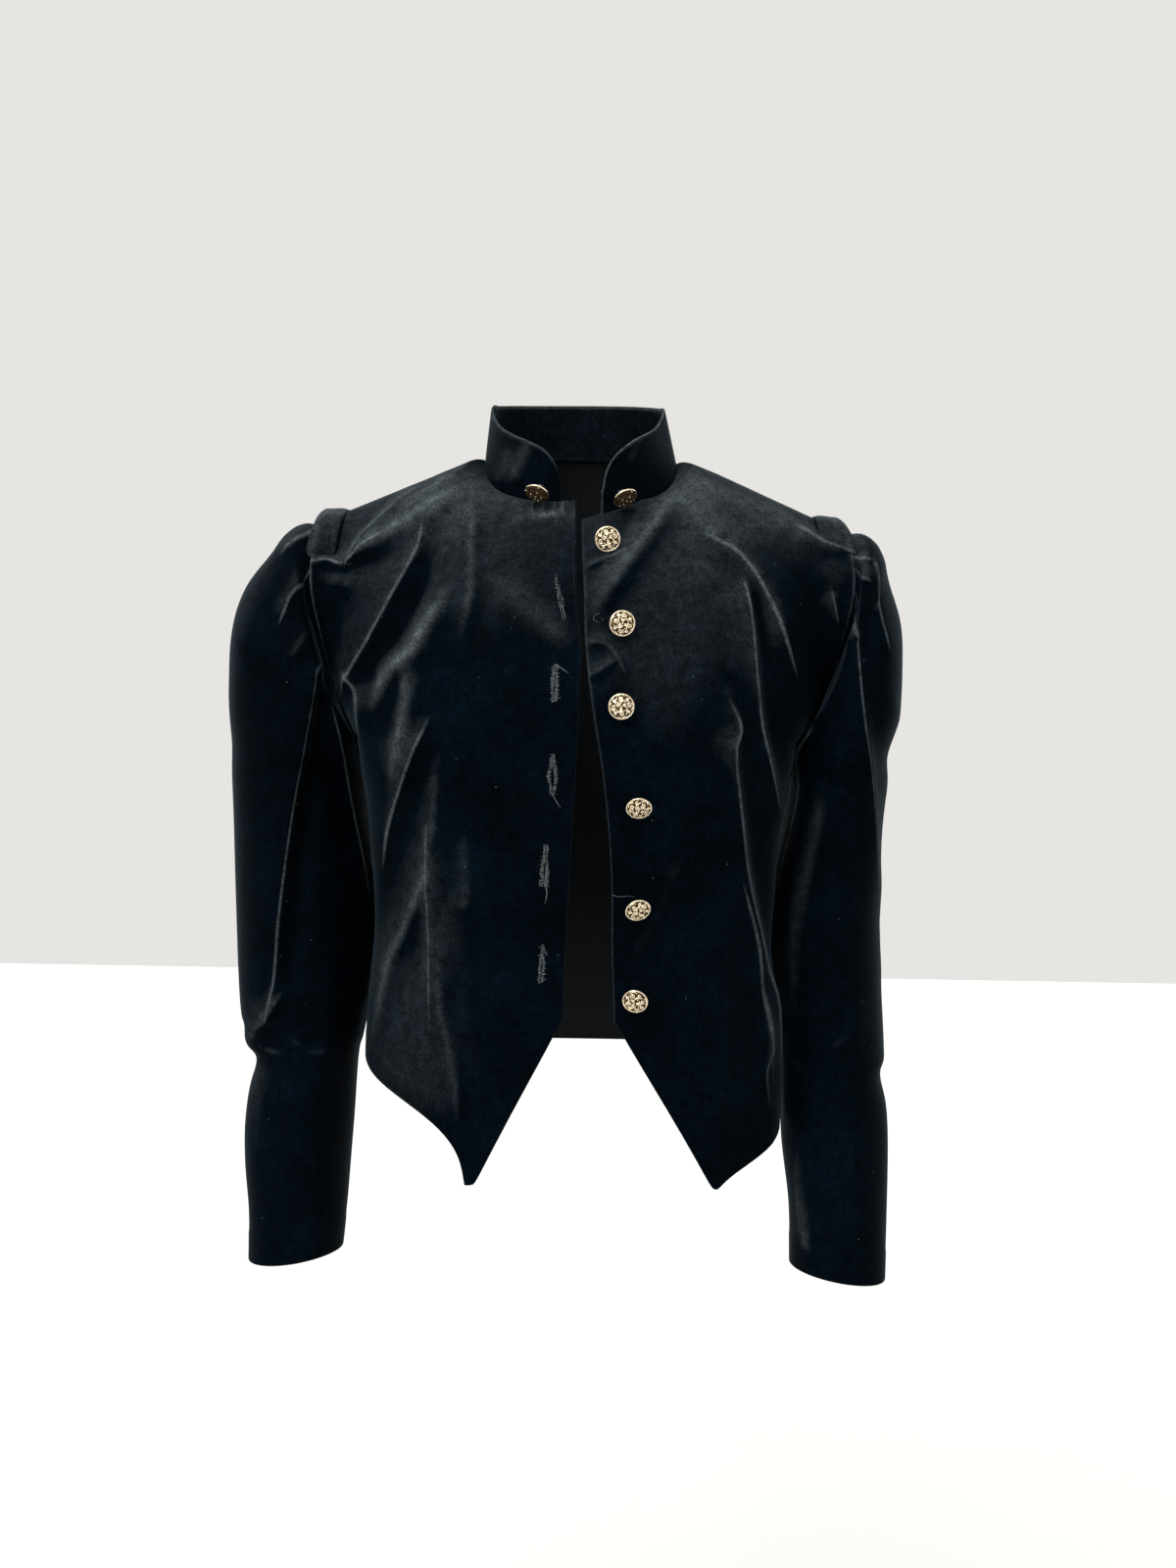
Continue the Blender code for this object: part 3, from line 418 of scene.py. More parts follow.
def cottonVelvet():  # cut pile, dyed near black: deep seen straight on, paler where the pile splays or is brushed, with painted highlights and painted shade laid on from the cloth's marks
    made, tree, shader = newMaterial("cottonVelvetCutPile")
    look, place = velvetLook, objectPlace(tree)
    # pile tufts are under half a millimetre, drawn coarser so that they show
    patch, brush, pile = [noise(tree, place, *look[key]) for key in ("patch", "brush", "pile")]
    ground = blended(tree, mapped(tree, patch, *look["patchSpread"]), look["deep"], look["open"])
    grain, stroke = mapped(tree, pile, *look["pileSpread"]), mapped(tree, brush, *look["brushSpread"])
    mottle = worked(tree, "MULTIPLY", grain, stroke)
    crest = attribute(tree, "crest")
    pale = crest
    for layer in range(creaseShape["layers"]):  # narrow fold crests: painted highlight lines, partly pile that splays
        near = worked(tree, "ABSOLUTE", attribute(tree, "foldSide%d" % layer))
        edge = mapped(tree, near, *look["foldSpread"], "SMOOTHSTEP")
        pale = worked(tree, "ADD", pale, worked(tree, "MULTIPLY", edge, attribute(tree, "foldPale%d" % layer)))
    # the pale share: painted highlights and painted window light, with brushed pile
    colourPick = worked(tree, "MULTIPLY", pale, mottle, clamp=True)
    # below zero the ground is painted darker: painted shade on faces turned from the window light, at the pleats' inner
    # edges, inside the collar and in a darker patch
    paintedShadeShare = worked(tree, "MULTIPLY", mapped(tree, crest, *look["paintedShadeSpread"]), mottle)
    paintedShadeGround = addNode(tree, "ShaderNodeVectorMath", {"operation": "SCALE"}, {0: ground, "Scale": paintedShadeShare})
    pileAndLightColour = blended(tree, colourPick, paintedShadeGround.outputs[0], look["crest"])
    settings = {"Scale": 1 / look["lintGap"], "Randomness": 1.0}
    specks = addNode(tree, "ShaderNodeTexVoronoi", settings, {"Vector": place})
    speck = mapped(tree, specks.outputs["Distance"], *look["lintSpread"])
    finishShader(tree, shader, blended(tree, speck, pileAndLightColour, look["lint"]), look["shader"], pile, look["pileBump"])
    shader.inputs["Sheen Tint"].default_value = linear(look["sheenTint"])
    return made


# threads are about 0.4 mm apart, drawn 1.6 mm apart so that they show
wovenLook = {
    "colours": ("#14171a", "#23282c"), "threadGap": 1.6 * mm, "waveScale": 0.314, "bump": (0.3, 0.0003),
    "wave": {"Distortion": 0.6, "Detail": 1.0}, "shader": {"Roughness": 0.92, "Specular IOR Level": 0.15},
}


def velvetBack():  # the woven wrong side: flat, matt, a little greyer than the pile
    made, tree, shader = newMaterial("velvetWovenBack")
    look = wovenLook
    place = addNode(tree, "ShaderNodeUVMap", {"uv_map": "cloth"}).outputs[0]
    waves = []
    for way in ("X", "Y"):
        settings = {"bands_direction": way, "Scale": look["waveScale"] / look["threadGap"], **look["wave"]}
        waves.append(addNode(tree, "ShaderNodeTexWave", settings, {"Vector": place}).outputs["Fac"])
    weave = worked(tree, "MULTIPLY", *waves)
    finishShader(tree, shader, blended(tree, weave, *look["colours"]), look["shader"], weave, look["bump"])
    return made


brassLook = {
    "gilt": ("#efd8a8", "#fff6e2"), "giltCloud": (2.5 * mm, 4.0), "giltRough": (0.3, 0.7, 0.14, 0.32),
    "browned": ("#170e06", "#5c4526"), "brownedCloud": (0.9 * mm, 3.0), "brownedBump": (0.5, 0.0002),
    "brownedShader": {"Metallic": 0.6, "Roughness": 0.6},
}


def giltBrass():  # stamped and gilt brass: warm bright relief, rubbed uneven, slightly soft highlights
    made, tree, shader = newMaterial("giltStampedBrass")
    cloud = noise(tree, objectPlace(tree), *brassLook["giltCloud"])
    finishShader(tree, shader, blended(tree, cloud, *brassLook["gilt"]), {"Metallic": 1.0})
    tree.links.new(mapped(tree, cloud, *brassLook["giltRough"]), shader.inputs["Roughness"])
    return made


def brownedGround():  # chemically browned recesses behind the scrolls, dull and dark
    made, tree, shader = newMaterial("brownedBrassGround")
    cloud = noise(tree, objectPlace(tree), *brassLook["brownedCloud"])
    colour = blended(tree, cloud, *brassLook["browned"])
    finishShader(tree, shader, colour, brassLook["brownedShader"], cloud, brassLook["brownedBump"])
    return made


threadLook = {
    "twist": (1.1 * mm, 3.0), "shader": {"Roughness": 0.65, "Sheen Weight": 0.3},
    "buttonhole": ("#1f2529", "#6a747b"), "sewing": ("#090c0f", "#2b3135"),
}


def wornThread(name, colours):  # twisted thread: small uneven glints, fuzzy and dusty where worn
    made, tree, shader = newMaterial(name)
    twist = noise(tree, objectPlace(tree), *threadLook["twist"])
    finishShader(tree, shader, blended(tree, twist, *colours), threadLook["shader"])
    return made


velvet, wrongSide = cottonVelvet(), velvetBack()
gilt, browned = giltBrass(), brownedGround()
greyThread = wornThread("greyWornButtonholeThread", threadLook["buttonhole"])
blackThread = wornThread("blackSewingThread", threadLook["sewing"])
print("materials made")

# cloth pieces

pieces = {}


def toObject(name, bm, materials):
    mesh = bpy.data.meshes.new(name)
    bm.to_mesh(mesh)
    bm.free()
    for material in materials:
        mesh.materials.append(material)
    mesh.polygons.foreach_set("use_smooth", [True] * len(mesh.polygons))
    made = bpy.data.objects.new(name, mesh)
    bpy.context.scene.collection.objects.link(made)
    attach(made, "root")
    pieces[name] = made
    return made


# painted light and shade: slopes that look up and to the window are painted paler and those turned from it darker, and
# the back and sides get a painted least paleness
paintedLightLook = {"toward": (-0.42, 0.35, 0.83), "level": 0.54, "sleeveLevel": 0.78, "share": 0.22, "foldShare": 0.20,
       "behindLeast": 0.050, "sideFrom": -0.32, "sideSpan": 0.62}


def paintedWindowLight(facing):
    x, y, z = paintedLightLook["toward"]
    return x * facing[..., 0] + y * np.abs(facing[..., 1]) + z * facing[..., 2]


def turnedAway(normals):  # 0 in front, 1 at the back, eased round the sides
    return ease((normals[..., 1] - paintedLightLook["sideFrom"]) / paintedLightLook["sideSpan"])


def meanLength(points, axis):
    return np.linalg.norm(np.diff(points, axis=axis), axis=-1).sum(axis).mean()


def clothPiece(name, points, normals, crest, lines, node, thick, wraps=False):
    rows, columns = points.shape[:2]
    facing = gridNormals(points, 1, wraps)
    facing *= np.sign((facing * normals).sum(-1, keepdims=True))
    # painted window light on each face, stronger on fold slopes, and a painted least paleness where the cloth turns
    # away to the back
    tone = paintedLightLook["share"] * (paintedWindowLight(facing) - paintedLightLook["sleeveLevel" if wraps else "level"])
    tone = tone + paintedLightLook["foldShare"] * (paintedWindowLight(facing) - paintedWindowLight(normals))
    crest = crest + tone + turnedAway(normals) * np.maximum(paintedLightLook["behindLeast"] - tone, 0)
    bm = bmesh.new()
    uv = bm.loops.layers.uv.new("cloth")
    bmesh.ops.create_grid(bm, x_segments=columns - 1, y_segments=rows - 1, size=0.5, calc_uvs=True)
    marks = {"crest": crest}
    for layer, (away, amount) in enumerate(lines):
        marks["foldSide%d" % layer], marks["foldPale%d" % layer] = away, amount
    marks = [(bm.verts.layers.float.new(key), values) for key, values in marks.items()]
    for vert in bm.verts:
        c = round((vert.co.x + 0.5) * (columns - 1))
        r = round((vert.co.y + 0.5) * (rows - 1))
        vert.co = points[r, c]
        for key, values in marks:
            vert[key] = values[r, c]
    wide, tall = meanLength(points, 1), meanLength(points, 0)
    for face in bm.faces:
        for loop in face.loops:
            loop[uv].uv = (loop[uv].uv.x * wide, loop[uv].uv.y * tall)
    if wraps:
        bmesh.ops.remove_doubles(bm, verts=bm.verts, dist=1e-6)
    bm.normal_update()
    bm.faces.ensure_lookup_table()
    face = bm.faces[len(bm.faces) // 2]
    near = np.argmin(np.linalg.norm(points.reshape(-1, 3) - np.array(face.calc_center_median()), axis=1))
    if face.normal.dot(Vector(normals.reshape(-1, 3)[near])) < 0:
        bmesh.ops.reverse_faces(bm, faces=bm.faces)
    area = sum(face.calc_area() for face in bm.faces)
    tree = BVHTree.FromBMesh(bm)
    made = toObject(name, bm, (velvet, wrongSide))
    wall = made.modifiers.new("wall", "SOLIDIFY")
    wall.thickness, wall.offset = thick, -1
    wall.use_rim, wall.material_offset, wall.material_offset_rim = True, 1, 0
    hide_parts(node)
    print(name, "made, area", round(area, 4), "width", round(wide, 3), "length", round(tall, 3))
    return tree


def heldBeside(away, least, reach):  # cloth moves less beside a seam
    return least + (1 - least) * ease(away / reach)


def turning(away, high, wide, fade):  # cloth is a little thicker for the width of a turned edge
    return high * (1 - ease((away - wide) / fade))


def panelPiece(name, node, look, seed, base, rise, normals, field, fromFold, fromSeam, edges):
    height, crest, lines = field
    height += softWaves(base, seed, look["wave"])
    height *= np.where(rise > 1, heldBeside(fromSeam, *look["heldHigh"]), heldBeside(fromSeam, *look["heldLow"]))
    height *= heldBeside(edges[-1], *look["heldTop"])  # the last edge is the top
    height += turning(fromFold, *look["turning"])
    for away in edges:
        height -= turnedEdge(away, look["fold"])
    # painted highlights along the folded edges and along the armhole edge
    foldPale, foldReach = look["foldPale"]
    armholePale, armholeReach = look["armholePale"]
    crest += foldPale * bell(fromFold, 0, foldReach) + armholePale * bell(fromSeam, 0, armholeReach) * (rise > 1)
    return clothPiece(name, base + normals * height[..., None], normals, crest, lines, node, look["thick"])


# creases of the fronts, pixel paths
frontCreases = {
    right: [
        ([(360, 570), (384, 555), (408, 540), (440, 519), (476, 494)], 9, 14, 4.6, 0.32, 6),
        ([(432, 534), (424, 568), (400, 614), (380, 650), (357, 690), (346, 724)], 26, 7, 5.5, 0.36, 2.2),
        ([(353, 684), (361, 700), (364, 716), (367, 764)], 10, 5, 2.6, 0.32, 2.2),
        ([(460, 597), (434, 640), (418, 666), (398, 683), (386, 708), (376, 732)], 9, 14, 4.2, 0.36, 6),
        ([(416, 678), (416, 709), (412, 732), (408, 760), (401, 800)], 8, 12, 3.4, 0.24, 6),
        ([(438, 732), (418, 785), (402, 838), (389, 894)], 16, 6, 4.6, 0.34, 2.4),
        ([(436, 840), (435, 880), (436, 936), (438, 1060)], 5, 12, 1.6, 0.20, 1.8),
        ([(436, 886), (412, 950), (397, 985), (378, 1066)], 14, 9, 3.2, 0.22, 3.5),
        ([(446, 966), (449, 1030), (461, 1083), (466, 1118), (469, 1168)], 12, 7, 1.8, 0.07, 4),
        ([(475, 846), (477, 908), (473, 936)], 10, 10, 1.2, 0.07, 8),
        ([(444, 790), (442, 830), (438, 866)], 10, 10, 1.0, 0.12, 5),
        ([(482, 502), (481, 560), (480, 606), (468, 656)], 12, 9, 2.0, 0.14, 4),
        ([(504, 595), (535, 616), (560, 640), (590, 670)], 16, 14, 1.8, 0.10, 13),
        ([(430, 496), (400, 520), (372, 548), (353, 574)], 5, 7, 2.2, 0.22, 2.5),
        ([(464, 482), (434, 506), (408, 526)], 6, 6, 1.6, 0.18, 4),
        ([(538, 523), (552, 529), (566, 526), (584, 530)], 4, 5, 1.6, 0.16, 3.5),
        ([(540, 513), (560, 518), (580, 514)], 5, 5, -1.6, 0, 1),
        ([(545, 508), (543, 518), (546, 530)], 3, 3, 1.1, 0.10, 2),
        ([(555, 510), (554, 520), (557, 532)], 3, 3, 1.3, 0.12, 2),
        ([(565, 508), (566, 518), (564, 531)], 3, 3, 1.2, 0.10, 2),
        ([(575, 509), (574, 519), (577, 530)], 3, 3, 1.4, 0.12, 2),
        ([(520, 498), (530, 520), (528, 542)], 8, 8, 1.0, 0.08, 4),
        ([(346, 596), (348, 640), (342, 690)], 14, 14, -2.2, 0, 1),
        ([(308, 572), (322, 572), (336, 572), (350, 576), (364, 567), (380, 556), (402, 543)], 7, 10, 3.6, 0.44, 1.9),
        ([(438, 584), (414, 640), (390, 692)], 9, 9, -2.4, 0, 1),
    ],
    left: [
        ([(690, 500), (672, 530), (640, 574), (600, 630)], 10, 14, 3.6, 0.22, 5),
        ([(652, 518), (628, 556), (602, 592)], 10, 10, -1.8, 0, 1),
        ([(718, 543), (748, 562), (767, 583), (785, 613), (800, 652), (821, 716)], 7, 20, 4.6, 0.38, 2.6),
        ([(759, 588), (764, 612), (767, 640), (770, 688), (777, 745), (790, 805), (801, 852)], 18, 6, 4.8, 0.38, 2.4),
        ([(744, 712), (755, 742), (749, 768), (752, 810), (757, 862), (763, 908),
          (771, 950), (780, 990), (792, 1024), (794, 1076), (790, 1146)], 16, 6, 5.0, 0.36, 2.6),
        ([(754, 896), (768, 967), (773, 1006), (783, 1064), (786, 1134)], 9, 6, 2.4, 0.26, 2.0),
        ([(810, 537), (838, 553), (854, 558), (876, 562)], 9, 8, 3.4, 0.28, 2.8),
        ([(849, 603), (857, 643)], 4, 5, 1.6, 0.17, 1.8),
        ([(742, 920), (740, 1002), (740, 1090), (738, 1160), (735, 1204)], 12, 4, 1.2, 0.08, 1.6),
        ([(776, 1010), (784, 1060), (779, 1100), (787, 1150)], 5, 5, 1.4, 0.20, 1.6),
        ([(700, 866), (684, 916), (660, 968), (640, 1008)], 18, 18, 1.2, 0.02, 15),
        ([(694, 482), (740, 506), (790, 527), (834, 549)], 10, 14, 2.2, 0.13, 8),
        ([(690, 498), (716, 530), (736, 554)], 10, 10, 1.4, 0.12, 6),
        ([(596, 579), (614, 570), (642, 559)], 5, 5, 1.2, 0.12, 3),
        ([(599, 654), (622, 660), (641, 692)], 6, 6, 1.2, 0.08, 3),
        ([(597, 691), (612, 684), (630, 671)], 5, 5, 1.0, 0.08, 3),
        ([(836, 588), (836, 640), (826, 704)], 14, 14, -2.0, 0, 1),
        ([(760, 1006), (764, 1060), (768, 1114)], 8, 8, -1.6, 0, 1),
    ],
}
# soft patches of painted light and brushed pile, painted shade where the share is below zero: middle and half sizes in
# pixels, tilt in degrees, pale share
frontPatches = {
    right: [
        ((476, 503), (62, 24), -28, 0.19), ((490, 560), (46, 60), 0, 0.035), ((424, 660), (16, 28), 30, 0.08),
        ((406, 768), (12, 28), 8, 0.11), ((433, 895), (14, 42), 0, 0.10), ((452, 930), (30, 72), 0, 0.05),
        ((562, 526), (26, 7), 0, 0.12), ((400, 985), (28, 52), 0, 0.04), ((342, 586), (24, 12), 0, 0.13),
        ((430, 1000), (60, 110), 0, 0.025), ((440, 1100), (56, 44), 15, 0.05), ((545, 1105), (9, 80), 28, 0.06),
        ((384, 860), (9, 60), 6, -0.12),
    ],
    left: [
        ((702, 505), (30, 20), 30, 0.13), ((772, 530), (72, 20), 18, 0.095), ((722, 560), (62, 40), 0, 0.05),
        ((696, 650), (96, 130), 0, 0.075), ((782, 1012), (8, 52), -10, 0.12), ((845, 600), (16, 40), 12, 0.05),
        ((812, 610), (30, 56), -14, 0.045), ((660, 930), (40, 70), 20, 0.02), ((700, 900), (40, 110), 0, 0.05),
        ((690, 770), (60, 60), 0, 0.02),
    ],
}
frontLook = {
    "columns": 150, "rows": 216, "thick": 0.0015, "fold": 0.0013, "wave": 0.0005, "seed": 11,
    "heldHigh": (0.45, 0.012), "heldLow": (0, 0.014), "heldTop": (0.15, 0.012), "turning": (0.0003, 0.014, 0.009),
    "foldPale": (0.10, 0.0016), "armholePale": (0.30, 0.0016),
}
trees = {}
for side, word in bothSides:
    rise = 2 * tightStops(frontLook["rows"])[:, None]
    base = frontPoints(side, tightStops(frontLook["columns"])[None, :], rise)
    field = creaseField(*seenAt(base), frontCreases[side], frontPatches[side])
    fromEdge, fromSide = reach(base, 1)
    fromHem, fromTop = reach(base, 0)
    trees[side] = panelPiece(
        "front_%s_cloth" % word, "front_" + word, frontLook, frontLook["seed"] + side, base, rise,
        gridNormals(base, side), field, np.minimum(fromEdge, fromHem), fromSide, (fromEdge, fromSide, fromHem, fromTop),
    )

# the back, finished plainly; crease paths in mm across and up
backCreases = [
    ([(-156, -220), (-122, -190), (-84, -150), (-60, -110)], 16, 12, 4.0, 0.14, 8),
    ([(158, -224), (126, -196), (92, -160), (66, -124)], 12, 16, 3.8, 0.14, 8),
    ([(-172, -150), (-140, -124), (-104, -86)], 11, 10, 2.8, 0.11, 8),
    ([(174, -156), (148, -132), (114, -92)], 10, 11, 2.6, 0.11, 8),
    ([(-104, -150), (-88, -260), (-70, -360), (-62, -440)], 22, 18, 3.0, 0.07, 12),
    ([(76, -170), (88, -270), (98, -360), (104, -440)], 18, 22, 3.0, 0.07, 12),
    ([(-44, -64), (0, -82), (46, -64)], 10, 13, 1.6, 0.06, 10),
    ([(-130, -318), (-80, -338), (-20, -344)], 12, 10, 1.8, 0.05, 10),
    ([(134, -326), (84, -348), (30, -350)], 10, 12, 1.8, 0.05, 10),
    ([(4, -150), (-4, -240), (6, -330)], 24, 24, -1.8, 0.0, 4),
    ([(-30, -380), (-38, -430), (-36, -474)], 16, 16, 1.8, 0.03, 10),
    ([(40, -376), (48, -430), (46, -474)], 16, 16, 1.8, 0.03, 10),
]
backLook = {
    "columns": 150, "rows": 170, "thick": 0.0015, "fold": 0.0013, "wave": 0.0006, "seed": 31,
    "heldHigh": (0.35, 0.012), "heldLow": (0, 0.014), "heldTop": (0.15, 0.012), "turning": (0.0004, 0.016, 0.004),
    "foldPale": (0.10, 0.0016), "armholePale": (0.25, 0.0018),
}
rise = 2 * tightStops(backLook["rows"])[:, None]
base = backPoints(2 * tightStops(backLook["columns"])[None, :] - 1, rise)
toRight, toLeft = reach(base, 1)
fromHem, fromTop = reach(base, 0)
panelPiece(
    "back_cloth", "back", backLook, backLook["seed"], base, rise, gridNormals(base, -1),
    creaseField(base[..., 0] / mm, base[..., 2] / mm, backCreases),
    fromHem, np.minimum(toRight, toLeft), (toRight, toLeft, fromHem, fromTop),
)

# sleeves: sections from the head to the cuff
sleeveForm = {
    right: {
        "tilt": (66, 50, 32, 12, 0, 0, 0, -3, -3, -6, -8),
        "innerOut": (0.1728, 0.1732, 0.1728, 0.1712, 0.1668, 0.1560, 0.1645, 0.1675, 0.1685, 0.1700, 0.1730),
        "innerZ": (-0.219, -0.223, -0.229, -0.238, -0.258, -0.360, -0.445, -0.466, -0.518, -0.570, -0.608),
        "width": (0.160, 0.142, 0.118, 0.1035, 0.1065, 0.113, 0.096, 0.084, 0.084, 0.077, 0.0724),
        "middleY": (0.0, 0.004, 0.010, 0.018, 0.026, 0.030, 0.012, 0.002, -0.012, -0.022, -0.030),
        "halfDepth": (0.066, 0.072, 0.075, 0.075, 0.072, 0.066, 0.058, 0.054, 0.050, 0.045, 0.041),
    },
    left: {
        "tilt": (66, 55, 40, 16, 0, 0, 0, -2, -2, -6, -8),
        "innerOut": (0.1728, 0.1732, 0.1728, 0.1712, 0.1668, 0.1560, 0.1650, 0.1665, 0.1655, 0.1710, 0.1710),
        "innerZ": (-0.219, -0.223, -0.229, -0.238, -0.258, -0.360, -0.445, -0.470, -0.518, -0.570, -0.615),
        "width": (0.152, 0.134, 0.105, 0.0765, 0.079, 0.0875, 0.081, 0.080, 0.082, 0.0745, 0.0722),
        "middleY": (0.0, 0.003, 0.008, 0.016, 0.025, 0.028, 0.012, 0.002, -0.012, -0.022, -0.030),
        "halfDepth": (0.066, 0.071, 0.076, 0.080, 0.080, 0.074, 0.062, 0.057, 0.050, 0.046, 0.041),
    },
}
# creases that the front shows, pixel paths
sleeveCreases = {
    right: [
        ([(328, 646), (321, 692), (311, 750), (299, 830), (288, 927), (282, 996), (269, 1060)], 34, 6, 6.0, 0.34, 2.0),
        ([(338, 712), (354, 807), (366, 868), (379, 936)], 5, 12, 3.2, 0.46, 1.8),
        ([(328, 536), (308, 552), (288, 570)], 7, 7, 3.2, 0.30, 2.4),
        ([(324, 569), (304, 602), (283, 642)], 9, 7, 3.6, 0.34, 2.4),
        ([(328, 625), (312, 652), (293, 682)], 7, 6, 2.0, 0.08, 5),
        ([(292, 1006), (272, 1040), (250, 1064)], 10, 7, 3.2, 0.24, 4),
        ([(244, 1038), (262, 1060), (288, 1075)], 8, 8, -3.0, 0, 1),
        ([(262, 1078), (262, 1140), (258, 1236)], 16, 16, 1.6, 0.05, 8),
        ([(266, 556), (251, 620), (246, 700)], 14, 14, 2.2, 0.04, 8),
        ([(330, 980), (334, 1040), (330, 1110)], 12, 12, 2.0, 0.04, 6),
        ([(296, 1060), (318, 1076), (342, 1078)], 8, 9, 1.8, 0.05, 4),
        ([(318, 1150), (322, 1220), (316, 1290)], 14, 14, 1.2, 0.03, 6),
    ],
    left: [
        ([(872, 624), (874, 650), (877, 680), (886, 788), (894, 880), (897, 930)], 14, 5, 3.4, 0.32, 1.8),
        ([(862, 563), (874, 569), (885, 575)], 4, 7, 1.8, 0.26, 1.8),
        ([(871, 578), (878, 587), (885, 597)], 4, 4, 1.2, 0.20, 1.6),
        ([(884, 571), (888, 589), (892, 616), (902, 650), (909, 674)], 6, 9, 2.6, 0.34, 1.8),
        ([(868, 594), (874, 610), (871, 626)], 4, 4, 0.8, 0.20, 1.5),
        ([(841, 772), (831, 869), (813, 944), (811, 1031), (811, 1156)], 12, 12, 3.0, 0.10, 9),
        ([(814, 1172), (818, 1240), (829, 1294)], 10, 10, 1.8, 0.12, 5),
        ([(833, 738), (820, 768), (817, 810), (806, 862), (791, 929), (778, 972)], 8, 10, 3.4, 0.46, 2.0),
        ([(906, 880), (910, 950), (905, 1010)], 12, 12, 1.8, 0.05, 5),
        ([(852, 700), (846, 780), (838, 850)], 10, 10, -2.2, 0, 1),
        ([(880, 1020), (866, 1060), (842, 1078)], 9, 9, 2.2, 0.05, 5),
        ([(870, 1120), (868, 1200), (872, 1270)], 14, 14, 1.2, 0.03, 6),
        ([(908, 700), (916, 760), (912, 820)], 10, 8, 2.0, 0.08, 4),
        ([(822, 716), (815, 745), (810, 772), (807, 800)], 12, 12, 5.0, 0, 6),
    ],
}
# soft patches of painted light and brushed pile, as on the fronts
sleevePatches = {
    right: [((259, 1030), (12, 22), 20, 0.08), ((270, 620), (26, 60), 0, 0.01)],
    left: [((822, 900), (14, 90), 6, 0.05), ((820, 1240), (10, 30), 0, 0.06), ((890, 600), (14, 30), 0, 0.04)],
}
# creases of the hidden side: degrees round the sleeve and mm down it
rearCreases = [
    ([(196, 4), (196, 60), (200, 110)], 10, 10, 3.8, 0.13, 6),
    ([(222, 4), (224, 70), (220, 130)], 11, 10, 3.8, 0.13, 6),
    ([(250, 8), (246, 90), (240, 190)], 12, 11, 4.2, 0.12, 7),
    ([(280, 120), (268, 210), (258, 300)], 14, 13, 3.2, 0.08, 8),
    ([(210, 150), (214, 220), (228, 290)], 13, 12, 2.6, 0.07, 8),
    ([(334, -60), (330, 20), (326, 110), (324, 170), (316, 260), (312, 360)], 24, 22, 10.5, 0.02, 6),
    ([(200, 296), (236, 306), (270, 300)], 8, 8, -2.6, 0.0, 6),
    ([(214, 318), (250, 326), (290, 318)], 8, 8, 2.2, 0.07, 6),
    ([(236, 340), (240, 400), (236, 450)], 14, 14, 1.6, 0.04, 8),
]
# zones are degrees from the underarm and the span of their start; other sizes in metres
sleeveLook = {
    "around": 200, "down": 176, "headRows": 26, "thick": 0.0015, "fold": 0.0013, "wave": 0.0006, "seed": 51,
    "lap": 0.005, "under": 0.0024, "past": 0.0030, "gap": 0.0015, "stand": 0.0014, "swell": 0.0052, "leave": 0.25,
    "lowZone": (25, 30), "deepZone": (50, 36), "highZone": (96, 30), "seamZone": 14, "step": 0.002,
    "lastStop": 9.9, "cuffStops": (9.93, 9.955, 9.972, 9.984, 9.993, 10), "jointRows": (17, 38), "jointPasses": 12,
    "elbowTuck": -0.004, "elbowSection": (7, 0.35), "elbowTurn": (165, 60), "shown": (0.12, 0.3),
    "headFull": {right: 0.003, left: 0.008}, "headAt": (0.032, 0.024), "headTurn": (168, 42), "free": (0.004, 0.016),
    "turning": (0.0004, 0.020, 0.004), "cuffPale": (0.10, 0.0016), "paintedHeadLight": 0.04, "paintedHeadLightAt": (0.010, 0.007),
}


def sleevePoints(side, angle, section):
    rows = np.arange(len(sleeveForm[side]["tilt"]))
    form = {key: smoothLine(rows, values, section) for key, values in sleeveForm[side].items()}
    turn, tilt = np.radians(angle), np.radians(form["tilt"])
    push = bell(section, *sleeveLook["elbowSection"]) * bell(angle, *sleeveLook["elbowTurn"])
    push = sleeveLook["elbowTuck"] * push
    along = (1 - np.cos(turn)) / 2 * form["width"] - push * np.cos(turn)
    out = form["innerOut"] + np.cos(tilt) * along
    z = form["innerZ"] + np.sin(tilt) * along
    y = form["middleY"] - np.sin(turn) * (form["halfDepth"] + push)
    return np.stack((side * out, y, z), -1)


def unit(vectors):
    return vectors / np.maximum(np.linalg.norm(vectors, axis=-1, keepdims=True), 1e-12)


def armholeEdge(side, angle):  # points, outward normals and directions out of the panels
    rise = 1 + np.arcsin(np.clip((1 - np.cos(np.radians(angle))) / 2, 0, 1)) * 2 / np.pi
    inFront = (angle <= 180)[..., None]
    step, zone = sleeveLook["step"], sleeveLook["seamZone"]
    lower, upper = np.clip(rise - step, 0, 2), np.clip(rise + step, 0, 2)
    onFront, onBack = frontPoints(side, 1.0, rise), backPoints(side * 1.0, rise)
    points = np.where(inFront, onFront, onBack)
    overBack = (points - backPoints(side * (1 - step), rise)) * side
    over = np.where(inFront, points - frontPoints(side, 1 - step, rise), overBack)
    upFront = frontPoints(side, 1.0, upper) - frontPoints(side, 1.0, lower)
    upBack = backPoints(side * 1.0, upper) - backPoints(side * 1.0, lower)
    normals = unit(np.cross(over, np.where(inFront, upFront, upBack)) * np.where(inFront, side, -1))
    fromUnder = np.minimum(angle, 360 - angle)
    normals[..., 1] *= ease((180 - fromUnder) / zone)
    beside = (1 - ease(fromUnder / zone))[..., None]
    normals = unit(normals * (1 - beside) + np.array((side, 0, 0)) * beside)
    loop = np.concatenate((points[-2:-1], points, points[1:2]))
    outs = unit(np.cross(loop[2:] - loop[:-2], normals) * side)
    return points, normals, outs, fromUnder


